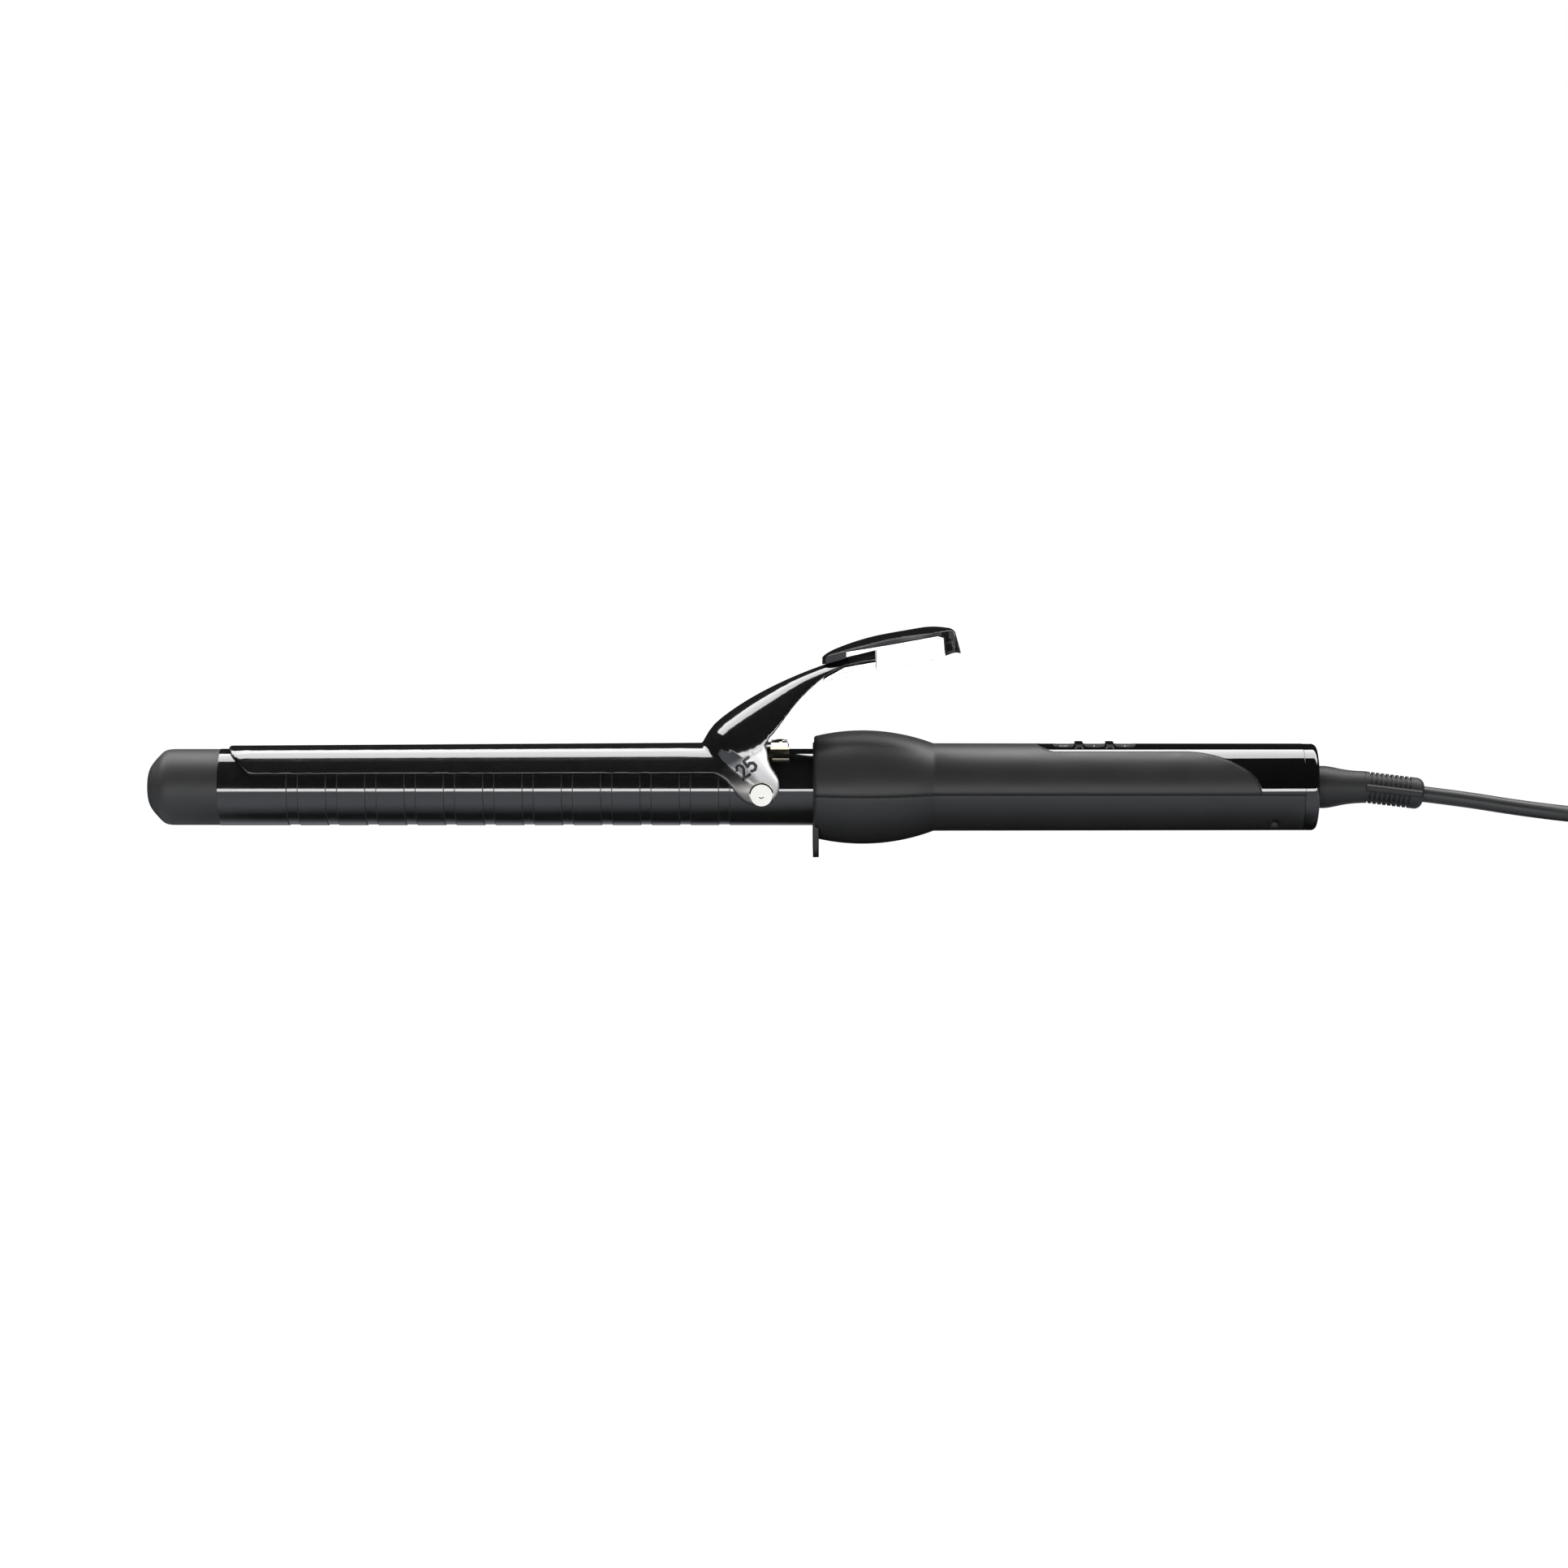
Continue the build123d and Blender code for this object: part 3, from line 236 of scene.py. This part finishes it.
def moulded(name, value, roughness, grain_mm=0.25, depth_mm=0.01, round_mm=0.3, **sockets):
    """Plastic, rubber or fired ceramic with a fine even grain and slow changes in sheen."""
    shader = Shader(name, grey(value), roughness, **sockets)
    slow = shader.noise(14, 3)
    shader.tint(slow, grey(value * 0.85), grey(value * 1.15))
    shader.gloss(slow, roughness * 0.85, roughness * 1.15)
    shader.bump(shader.noise(grain_mm, 3, rough=0.7), depth_mm, after=shader.rounded(round_mm))
    return shader


def arc(centre, radius, start, end, steps=5):
    """Points along an arc, its angles in degrees."""
    angles = [radians(start + (end - start) * n / steps) for n in range(steps + 1)]
    return [(centre[0] + radius * cos(t), centre[1] + radius * sin(t)) for t in angles]


DIGIT_TWO = [*arc((0, 0.95), 1.05, 165, -25), (-1.1, -2.0), (1.1, -2.0)]
DIGIT_FIVE = [(1.0, 2.0), (-0.8, 2.0), (-1.0, 0.15), *arc((-0.1, -0.75), 1.25, 135, -135)]


def twenty_five(size, step):
    """The lines of the number 25, centred, with digits four units high."""
    return [
        [(x * size - step / 2, y * size) for x, y in DIGIT_TWO],
        [(x * size + step / 2, y * size) for x, y in DIGIT_FIVE],
    ]


def enamel(name):
    """Black ceramic enamel: near mirror gloss over a faint orange peel and fine specks."""
    shader = Shader(name, grey(0.006), 0.09, Coat_Weight=0.3, Coat_Roughness=0.03)
    shader.gloss(shader.noise(9, 4), 0.07, 0.13)
    shader.tint(shader.noise(3, 4), grey(0.004), grey(0.009))
    first = shader.bump(shader.noise(0.9, 2), 0.0015, after=shader.rounded(0.3))
    shader.bump(shader.noise(0.16, 2, rough=0.8), 0.0012, after=first)
    return shader


BAND_FIRST_X = -169.1
BAND_LAST_X = -29.2
BAND_PITCH = 12.72
BAND_WIDTH = 3.6
# the dull line at a band's edge fades out between these distances from it
BAND_EDGE = (0.05, 0.2)
# how far past the centres of the first and last bands the lines are drawn
BAND_REACH = 3


def barrel_enamel():
    """The same enamel, thin and dull where each turned band's edge steps down."""
    shader = enamel("barrel_enamel")
    x, _, _ = shader.iron_place()
    turns = shader.math("DIVIDE", shader.math("SUBTRACT", x, BAND_FIRST_X), BAND_PITCH)
    share = shader.math("FRACT", shader.math("ADD", turns, 0.5))
    centre = shader.math("MULTIPLY", shader.math("SUBTRACT", share, 0.5), BAND_PITCH)
    edge = shader.math("SUBTRACT", shader.math("ABSOLUTE", centre), BAND_WIDTH / 2)
    step = shader.between(shader.math("ABSOLUTE", edge), 0.8, 0, *BAND_EDGE)
    ahead = shader.between(x, 0, 1, BAND_FIRST_X - BAND_REACH - 1, BAND_FIRST_X - BAND_REACH)
    behind = shader.between(x, 1, 0, BAND_LAST_X + BAND_REACH, BAND_LAST_X + BAND_REACH + 1)
    dull = shader.math("MULTIPLY", step, shader.math("MULTIPLY", ahead, behind))
    shader.link(shader.between(dull, 0.3, 0.0), shader.bsdf.inputs["Coat Weight"])
    rough = shader.math("ADD", shader.between(shader.noise(9, 4), 0.07, 0.13), dull, clamp=True)
    shader.link(rough, shader.bsdf.inputs["Roughness"])
    return shader


def glossy(name, value, roughness, round_mm):
    """Moulded gloss plastic: mirror smooth, with the slow swells of a thin moulding."""
    shader = Shader(name, grey(value), roughness, Coat_Weight=0.25, Coat_Roughness=0.02)
    slow = shader.noise(18, 2)
    shader.tint(slow, grey(value * 0.7), grey(value * 1.3))
    shader.gloss(shader.noise(4, 5), roughness * 0.7, roughness * 1.5)
    first = shader.bump(slow, 0.02, after=shader.rounded(round_mm))
    shader.bump(shader.noise(0.3, 2), 0.0006, after=first)
    return shader


def woven(name, color, pitch_mm):
    """Braid or webbing: two sets of threads that cross at a slant."""
    shader = Shader(name, color, 0.85)
    x, y, z = shader.iron_place()
    height = None
    for sign in (1, -1):
        slant = shader.math("ADD", shader.math("MULTIPLY", x, sign), shader.math("ADD", y, z))
        wave = shader.math("SINE", shader.math("MULTIPLY", slant, 2 * pi / pitch_mm))
        height = wave if height is None else shader.math("MAXIMUM", height, wave)
    # painted shade: the weave's colour is darker where its threads sink, following the bump's height
    shader.tint(shader.between(height, 0, 1, -1, 1), tuple(c * 0.5 for c in color), color)
    first = shader.bump(height, 0.12)
    shader.bump(shader.noise(0.12, 3), 0.03, after=first)
    return shader


SOLDER_MASK = (0.01, 0.12, 0.05)
SOLDER_MASK_ON_COPPER = (0.03, 0.26, 0.11)


def circuit_board():
    """Green solder mask over copper tracks."""
    shader = Shader("circuit_board", SOLDER_MASK, 0.3)
    tracks = shader.node("TexBrick", offset=0.37)
    for socket, value in (("Scale", 1 / (6 * MM)), ("Mortar Size", 0.03), ("Mortar Smooth", 0.1)):
        tracks.inputs[socket].default_value = value
    shader.link(shader.place(), tracks.inputs["Vector"])
    shader.tint(tracks.outputs["Fac"], SOLDER_MASK, SOLDER_MASK_ON_COPPER)
    shader.bump(tracks.outputs["Fac"], 0.03)
    return shader


def brushed(name, color, roughness, along=(12, 0.35, 0.35), dark=0.75):
    """Rolled or plated metal with a fine grain drawn out along one way."""
    shader = Shader(name, color, roughness, 1.0)
    grain = shader.noise(0.5, 4, stretch=along, rough=0.7)
    shader.tint(shader.noise(5, 3), color, tuple(c * dark for c in color))
    shader.gloss(grain, roughness * 0.7, roughness * 1.35)
    shader.bump(grain, 0.006)
    return shader


STEEL_PAINTED_SHADE = (0.075, 0.072, 0.07)
STEEL_PAINTED_SHEEN = (0.34, 0.335, 0.33)
STEEL_STAMP_SHADE = (0.03, 0.03, 0.03)
# the painted sheen on the steel grows over this stretch, measured up and back across the ear
PAINTED_SHEEN_STRETCH = (-13.5, -3.0)
# the stamped number: its middle as X and Z, its lean in degrees, the scale of a digit's
# units, the step from digit to digit, and where the edge of a stroke starts and ends
MARK_AT = (-22.0, 8.6)
MARK_LEAN = 42.0
MARK_SCALE = 1.12
MARK_STEP = 3.6
MARK_STROKE = (0.22, 0.5)
# the coat ends on the line Z = slope * X + rise, give or take its wander, and fades out
COAT_SLOPE = 0.545
COAT_RISE = 24.3
COAT_WANDER = 1.6
COAT_FADE = 2.4
# bare steel starts between these X, and between these distances from the middle plane
EAR_FRONT = (-34.6, -32.4)
EAR_INSIDE = (9.5, 11.0)


def clamp_shader():
    """Enamel over the whole clamp but its ears, where the steel is left bare."""
    shader = enamel("clamp_enamel_and_bare_steel")
    x, y, z = shader.iron_place()
    # the coat's edge runs up and back across the ear, soft because it is sprayed
    across = shader.math("SUBTRACT", shader.math("MULTIPLY", x, COAT_SLOPE), z)
    edge = shader.math("ADD", across, COAT_RISE)
    soft = shader.math("ADD", edge, shader.math("MULTIPLY", shader.noise(0.7, 3), COAT_WANDER))
    behind = shader.between(x, 0, 1, *EAR_FRONT)
    outside = shader.between(shader.math("ABSOLUTE", y), 0, 1, *EAR_INSIDE)
    bare = shader.math("MULTIPLY", shader.between(soft, 0, 1, 0.0, COAT_FADE), behind)
    bare = shader.math("MULTIPLY", bare, outside)
    metal = shader.node("BsdfPrincipled")
    metal.inputs["Metallic"].default_value = 1.0
    # the steel's colour carries painted shade low on the ear and ahead, and a painted sheen up and back
    rise = shader.math("ADD", shader.math("MULTIPLY", z, 0.8), shader.math("MULTIPLY", x, 0.6))
    steel = shader.mix_color(shader.between(rise, 0, 1, *PAINTED_SHEEN_STRETCH), STEEL_PAINTED_SHADE, STEEL_PAINTED_SHEEN)
    grain = shader.noise(0.35, 4, stretch=(3, 1, 1), rough=0.75)
    shader.link(shader.between(grain, 0.26, 0.4), metal.inputs["Roughness"])
    # the barrel's size in millimetres, stamped in the near ear
    lean = radians(MARK_LEAN)
    from_x = shader.math("SUBTRACT", x, MARK_AT[0])
    from_z = shader.math("SUBTRACT", z, MARK_AT[1])
    across = shader.math(
        "ADD", shader.math("MULTIPLY", from_x, cos(lean)), shader.math("MULTIPLY", from_z, sin(lean))
    )
    up = shader.math(
        "SUBTRACT", shader.math("MULTIPLY", from_z, cos(lean)), shader.math("MULTIPLY", from_x, sin(lean))
    )
    reach = shader.stroke_distance(across, up, twenty_five(MARK_SCALE, MARK_STEP))
    near_side = shader.between(y, 1, 0, -11, -10)
    sunk = shader.math("MULTIPLY", shader.between(reach, 1, 0, *MARK_STROKE), near_side)
    # painted shade in the sunk strokes of the number: the steel's colour is darkened there
    shader.link(shader.mix_color(sunk, steel, STEEL_STAMP_SHADE), metal.inputs["Base Color"])
    stamp = shader.raised(sunk, 0.3, after=shader.rounded(1.2), invert=True)
    shader.link(shader.raised(grain, 0.012, after=stamp), metal.inputs["Normal"])
    blend = shader.node("MixShader")
    shader.link(bare, blend.inputs[0])
    shader.link(shader.bsdf.outputs[0], blend.inputs[1])
    shader.link(metal.outputs[0], blend.inputs[2])
    shader.link(blend.outputs[0], shader.tree.nodes["Material Output"].inputs["Surface"])
    return shader


def chrome():
    """Satin chrome over white nylon: it stays pale where it mirrors a pale table."""
    shader = Shader("satin_chrome", (0.9, 0.9, 0.9), 0.16, 0.7)
    shader.tint(shader.noise(3, 4), (0.72, 0.715, 0.71), (0.62, 0.62, 0.62))
    shader.gloss(shader.noise(0.6, 3), 0.1, 0.22)
    shader.bump(shader.noise(1.5, 3), 0.004, after=shader.rounded(0.2))
    return shader


KEY_XS = {"power": 81.2, "minus": 91.2, "plus": 101.2}


def keys():
    """Black key rubber with pale generic marks: a power ring and bar, a minus and a plus."""
    shader = moulded("key_rubber", 0.03, 0.3, 0.2, 0.004)
    x, y, _ = shader.iron_place()
    power, minus, plus = KEY_XS.values()
    lines = [
        [(power + v, u) for u, v in arc((0, 0), 1.2, 125, 415, 8)],
        [(power + 0.3, 0), (power + 1.6, 0)],
        [(minus, -1.1), (minus, 1.1)],
        [(plus, -1.1), (plus, 1.1)],
        [(plus - 1.1, 0), (plus + 1.1, 0)],
    ]
    reach = shader.stroke_distance(x, y, lines)
    mark = shader.between(reach, 1, 0, 0.14, 0.2)
    shader.tint(mark, grey(0.03), grey(0.3))
    return shader


MATERIALS = {
    "tip": moulded("tip_plastic", 0.019, 0.52, 0.3, 0.02, Specular_IOR_Level=0.28),
    "enamel": barrel_enamel(),
    "clamp": clamp_shader(),
    "handle": moulded(
        "soft_touch_plastic", 0.019, 0.42, 0.18, 0.008, round_mm=1.6, Specular_IOR_Level=0.25
    ),
    "gloss": glossy("gloss_plastic", 0.003, 0.03, 0.3),
    "thumb": glossy("thumb_plastic", 0.005, 0.07, 0.6),
    "chrome": chrome(),
    "nickel": brushed("nickel", (0.93, 0.89, 0.80), 0.12, along=(1, 1, 1), dark=0.9),
    "brass_plate": brushed("yellow_plated_steel", (0.80, 0.72, 0.56), 0.17),
    "spring": brushed("spring_steel", (0.62, 0.61, 0.58), 0.22),
    "keys": keys(),
    "inner": moulded("inner_nylon", 0.16, 0.55),
    "aluminium": brushed("extruded_aluminium", (0.75, 0.75, 0.76), 0.35, along=(40, 0.5, 0.5)),
    "ceramic": moulded("fired_ceramic", 0.62, 0.6),
    "board": circuit_board(),
    "sleeve": woven("glass_sleeve", (0.5, 0.48, 0.42), 0.7),
    "relief": moulded("relief_rubber", 0.02, 0.5, 0.3, 0.04, Specular_IOR_Level=0.2),
    "cord": moulded("cord_rubber", 0.022, 0.42, 0.3, 0.008, Specular_IOR_Level=0.3),
    "strap": woven("tie_strap", (0.03, 0.03, 0.032), 1.3),
    "plug": moulded("plug_rubber", 0.03, 0.48, 0.3, 0.02),
    "pins": brushed("plug_pins", (0.86, 0.82, 0.74), 0.18, along=(6, 1, 1)),
}

NODE_MATERIALS = {
    "tip_cap": "tip", "barrel": "enamel", "clamp": "clamp", "barrel_collar": "inner",
    "heat_spreader_upper": "aluminium", "heat_spreader_lower": "aluminium",
    "heater_stones": "ceramic", "heater_electrodes": "aluminium", "temperature_sensor": "ceramic",
    "thermal_fuse": "nickel", "heater_leads": "sleeve", "supply_leads": "sleeve",
    "thumb_cover": "thumb", "thumb_liner": "chrome", "thumb_clip": "chrome",
    "pivot_bracket": "brass_plate", "pivot_screws": "nickel", "return_spring": "spring",
    "spring_screw": "brass_plate", "rest_foot": "handle", "handle_upper": "handle",
    "handle_lower": "handle", "handle_screws": "nickel", "gloss_cover": "gloss",
    "end_ring": "gloss", "button_power": "keys", "button_minus": "keys", "button_plus": "keys",
    "circuit_board": "board", "tact_switches": "inner", "board_components": "inner",
    "swivel_socket": "inner", "swivel_hub": "gloss", "strain_relief": "relief",
    "cord": "cord", "cord_hank": "cord", "cord_tail": "cord", "cord_tie": "strap",
    "plug_body": "plug", "plug_pins": "pins",
}


def dress(node):
    """Gives a CAD node its material."""
    piece = nodes[node]
    piece.data.materials.clear()
    piece.data.materials.append(MATERIALS[NODE_MATERIALS[node]].material)


def soften_clamp():
    """Turns the clamp's ruled neck into the one smooth skin that enamelled sheet steel has."""
    clamp = nodes["clamp"]
    weld = clamp.modifiers.new("weld", "WELD")
    weld.merge_threshold = 0.002 * MM
    remesh = clamp.modifiers.new("even_mesh", "REMESH")
    remesh.mode = "VOXEL"
    remesh.voxel_size = 0.3 * MM
    remesh.use_smooth_shade = True
    smooth = clamp.modifiers.new("smooth", "SMOOTH")
    smooth.factor = 0.5
    smooth.iterations = 14


for node in nodes:
    dress(node)
soften_clamp()


# ---------------------------------------------------------------- cord
# millimetres in the row frame, but for the cord's length, which is in metres
CORD_D = 5.2
TURN_RADII = (21.0, 15.7)
TURN_HEIGHTS = (3.8, 9.1, 14.4)
HANK_FRONT_X = 289.0
HANK_BACK_X = 385.0
RELIEF_WAIST_X = 179.5
RELIEF_RIBBED = 19.2
RELIEF_DROOP = radians(7.0)
# the cord leaves the relief straight for this far
LEAD_STRAIGHT = 13.5

LEAD_ROUTE = [
    (236.0, -1.5, 4.9),
    (250.5, -5.0, 2.9),
    (261.5, -12.5, 2.6),
    (270.5, -19.2, 3.0),
    (282.5, -22.6, 3.6),
    (297.0, -20.9, 3.8),
]
TAIL_ROUTE = [
    (362.0, -15.7, 16.0),
    (376.0, -15.9, 18.4),
    (391.0, -15.9, 20.0),
    (405.0, -14.6, 18.8),
    (418.0, -11.2, 14.8),
    (431.0, -7.0, 10.6),
    (444.0, -3.2, 7.7),
    (456.0, -0.7, 6.95),
    (468.0, 0.0, 6.85),
]


# where along a straight the route has its points, and how many it has round a fold
RUN_SHARES = (0.12, 0.37, 0.63, 0.88)
FOLD_STEPS = 6
# a turn changes places over this share of its way back, and starts that this much sooner
# than the turn before it
SHIFT_LENGTH = 0.4
SHIFT_LEAD = 0.15
LAST_RUN_XS = (HANK_FRONT_X + 12, 325.0, 348.0)


def shifted(here, there, share):
    """A turn's radius and height, eased this share of the way to the next turn's place."""
    share = min(max(share, 0), 1)
    moved = share * share * (3 - 2 * share)
    return [a + (b - a) * moved for a, b in zip(here, there)]


def hank_points():
    """The turns of the hank: two columns wide and three layers high, folded in line.

    Each turn runs back along the near side, round the far fold, forward along the other
    side and round the near fold. On the way back from the far fold it changes places to
    where the next turn runs, one turn after another so that they pass clear of each other.
    """
    outer, inner = TURN_RADII
    low, middle, high = TURN_HEIGHTS
    places = [(outer, low), (inner, low), (inner, middle), (outer, middle), (outer, high), (inner, high)]
    run = HANK_BACK_X - HANK_FRONT_X
    step = pi / FOLD_STEPS
    # a quadratic spline runs inside the corners of its control points by this much
    widen = 1 / cos(step / 2)
    points = []
    for turn, (here, there) in enumerate(zip(places, places[1:])):
        radius, height = here
        starts = SHIFT_LEAD * (4 - turn)
        for share in RUN_SHARES:
            # the lead joins the first turn a third of the way along
            if turn or share > 0.3:
                points.append((HANK_FRONT_X + share * run, -radius, height))
        for n in range(FOLD_STEPS):
            angle = -pi / 2 + (n + 0.5) * step
            points.append((
                HANK_BACK_X + radius * widen * cos(angle), radius * widen * sin(angle), height,
            ))
        way = run + pi * radius
        for share in RUN_SHARES:
            wide, tall = shifted(here, there, (share * run / way - starts) / SHIFT_LENGTH)
            points.append((HANK_BACK_X - share * run, wide, tall))
        for n in range(FOLD_STEPS):
            angle = pi / 2 + (n + 0.5) * step
            share = (run + (n + 0.5) * step * radius) / way
            wide, tall = shifted(here, there, (share - starts) / SHIFT_LENGTH)
            points.append((
                HANK_FRONT_X + wide * widen * cos(angle), wide * widen * sin(angle), tall,
            ))
    last_radius, last_height = places[-1]
    for x in LAST_RUN_XS:
        points.append((x, -last_radius, last_height))
    return points


def add_cord():
    """The whole cord on one smooth line, from the strain relief to inside the plug."""
    droop_end = on_iron(
        RELIEF_WAIST_X + RELIEF_RIBBED * cos(RELIEF_DROOP), 0, -RELIEF_RIBBED * sin(RELIEF_DROOP)
    )
    way = AXIS * cos(RELIEF_DROOP) - UPRIGHT * sin(RELIEF_DROOP)
    route = [droop_end - way * MM, droop_end + way * LEAD_STRAIGHT * MM]
    route += [Vector(p) * MM for p in (*LEAD_ROUTE, *hank_points(), *TAIL_ROUTE)]
    data = bpy.data.curves.new("mains_cord", "CURVE")
    data.dimensions = "3D"
    data.bevel_depth = CORD_D / 2 * MM
    data.bevel_resolution = 5
    data.use_fill_caps = True
    data.resolution_u = 5
    spline = data.splines.new("NURBS")
    spline.points.add(len(route) - 1)
    for point, place in zip(spline.points, route):
        point.co = (*place, 1)
    spline.order_u = 3
    spline.use_endpoint_u = True
    data.materials.append(MATERIALS["cord"].material)
    cord = bpy.data.objects.new("mains_cord", data)
    bpy.context.scene.collection.objects.link(cord)
    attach(cord, "cord_set")
    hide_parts("cord", "cord_hank", "cord_tail")


add_cord()


def add_spring():
    """A copy of the CAD leaf spring, with a mesh of its own, carried on the iron."""
    spring = bpy.data.objects.new("leaf_spring", nodes["return_spring"].data.copy())
    bpy.context.scene.collection.objects.link(spring)
    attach(spring, "iron")
    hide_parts("return_spring")
    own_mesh(spring)


add_spring()


# ---------------------------------------------------------------- table and light
TABLE_RADIUS = 6.0
TABLE_SIDES = 96
TABLE_SEEN_Z = -0.2 * MM
TABLE_MET_Z = -0.4 * MM
# a little over 1, so that the table is pure white
TABLE_GLOW = 1.03
# the table that reflections meet: its tone in front of the iron, and behind it
TABLE_FRONT = (0.41, 0.43, 0.47)
TABLE_BEHIND = (0.02, 0.02, 0.02)
TABLE_SPLIT_Y = (-0.01, 0.03)
ROOM_RADIUS = 7.0
ROOM_GLOW = 0.012


def glowing(name, strength):
    """A black surface that gives off an even white light."""
    shader = Shader(name, grey(0.0), 0.9)
    shader.set("Specular IOR Level", 0.0)
    shader.set("Emission Color", (1, 1, 1, 1))
    shader.set("Emission Strength", strength)
    return shader.material


def staged(name, points, faces, material):
    """A mesh that belongs to the set and not to the iron."""
    mesh = bpy.data.meshes.new(name)
    mesh.from_pydata(points, [], faces)
    mesh.materials.append(material)
    made = bpy.data.objects.new(name, mesh)
    bpy.context.scene.collection.objects.link(made)
    return made


def disc(name, height, material):
    angles = [2 * pi * n / TABLE_SIDES for n in range(TABLE_SIDES)]
    rim = [(TABLE_RADIUS * cos(t), TABLE_RADIUS * sin(t), height) for t in angles]
    return staged(name, rim, [tuple(range(TABLE_SIDES))], material)


def add_table():
    """The pale table as it is seen, and a duller one below it as the iron's gloss meets it."""
    dull = Shader("dull_table", TABLE_FRONT, 0.9)
    dull.set("Specular IOR Level", 0.0)
    split = dull.node("SeparateXYZ")
    dull.link(dull.place(), split.inputs[0])
    dull.tint(dull.between(split.outputs["Y"], 0, 1, *TABLE_SPLIT_Y), TABLE_FRONT, TABLE_BEHIND)
    seen = disc("table_seen", TABLE_SEEN_Z, glowing("white_table", TABLE_GLOW))
    met = disc("table_met", TABLE_MET_Z, dull.material)
    for made, camera in ((seen, True), (met, False)):
        made.visible_camera = camera
        made.visible_glossy = not camera
        made.visible_diffuse = not camera
        made.visible_transmission = not camera
        made.visible_shadow = False


def add_dark_room():
    """A dark shell round the set, for the black parts to mirror. The camera looks past it."""
    bpy.ops.mesh.primitive_uv_sphere_add(segments=48, ring_count=24, radius=ROOM_RADIUS)
    room = bpy.context.object
    room.name = "studio_room"
    room.data.materials.append(glowing("studio_dark", ROOM_GLOW))
    room.visible_camera = False
    room.visible_shadow = False


LIT_MIDDLE = (0, 0, 0.02)
OVERHEAD_AT = (0, 0.37, 1.03)
OVERHEAD_WIDTH = 0.68
OVERHEAD_LENGTH = 3.2
OVERHEAD_RADIANCE = 9.5
FRONT_AT = (0, -1.75, 0.085)
FRONT_WIDTH = 0.17
FRONT_LENGTH = 3.4
FRONT_GLOW = 14.0
# the glowing band on the table runs between these Y, as long as the strip
FRONT_BAND_Y = (-1.7, -0.6)


def softbox(name, place, width, length, radiance):
    """A rectangular light that faces the iron; radiance is the brightness of its face."""
    data = bpy.data.lights.new(name, "AREA")
    data.shape = "RECTANGLE"
    data.size = length
    data.size_y = width
    data.energy = radiance * pi * width * length
    light = bpy.data.objects.new(name, data)
    away = (Vector(place) - Vector(LIT_MIDDLE)).normalized()
    along = Vector((1, 0, 0))
    across = away.cross(along).normalized()
    light.matrix_world = Matrix.Translation(place) @ Matrix((along, across, away)).transposed().to_4x4()
    light.visible_camera = False
    bpy.context.scene.collection.objects.link(light)


def add_lights():
    """A softbox over the iron and a little behind it, and a low strip in front."""
    softbox("overhead", OVERHEAD_AT, OVERHEAD_WIDTH, OVERHEAD_LENGTH, OVERHEAD_RADIANCE)
    softbox("front_strip", FRONT_AT, FRONT_WIDTH, FRONT_LENGTH, FRONT_GLOW)
    # the same strip as the table mirrors it, which reaches the iron from just below level
    near, far = FRONT_BAND_Y
    half = FRONT_LENGTH / 2
    corners = [(-half, near, 0), (half, near, 0), (half, far, 0), (-half, far, 0)]
    band = staged("front_band", corners, [(0, 1, 2, 3)], glowing("band_glow", FRONT_GLOW))
    band.visible_camera = False


def set_world():
    world = bpy.data.worlds.new("white")
    bpy.context.scene.world = world
    world.use_nodes = True
    world.node_tree.nodes["Background"].inputs["Color"].default_value = (1, 1, 1, 1)
    world.node_tree.nodes["Background"].inputs["Strength"].default_value = 1.0
    bpy.context.scene.view_settings.view_transform = "Standard"


add_table()
add_dark_room()
add_lights()
set_world()

bpy.context.view_layer.update()
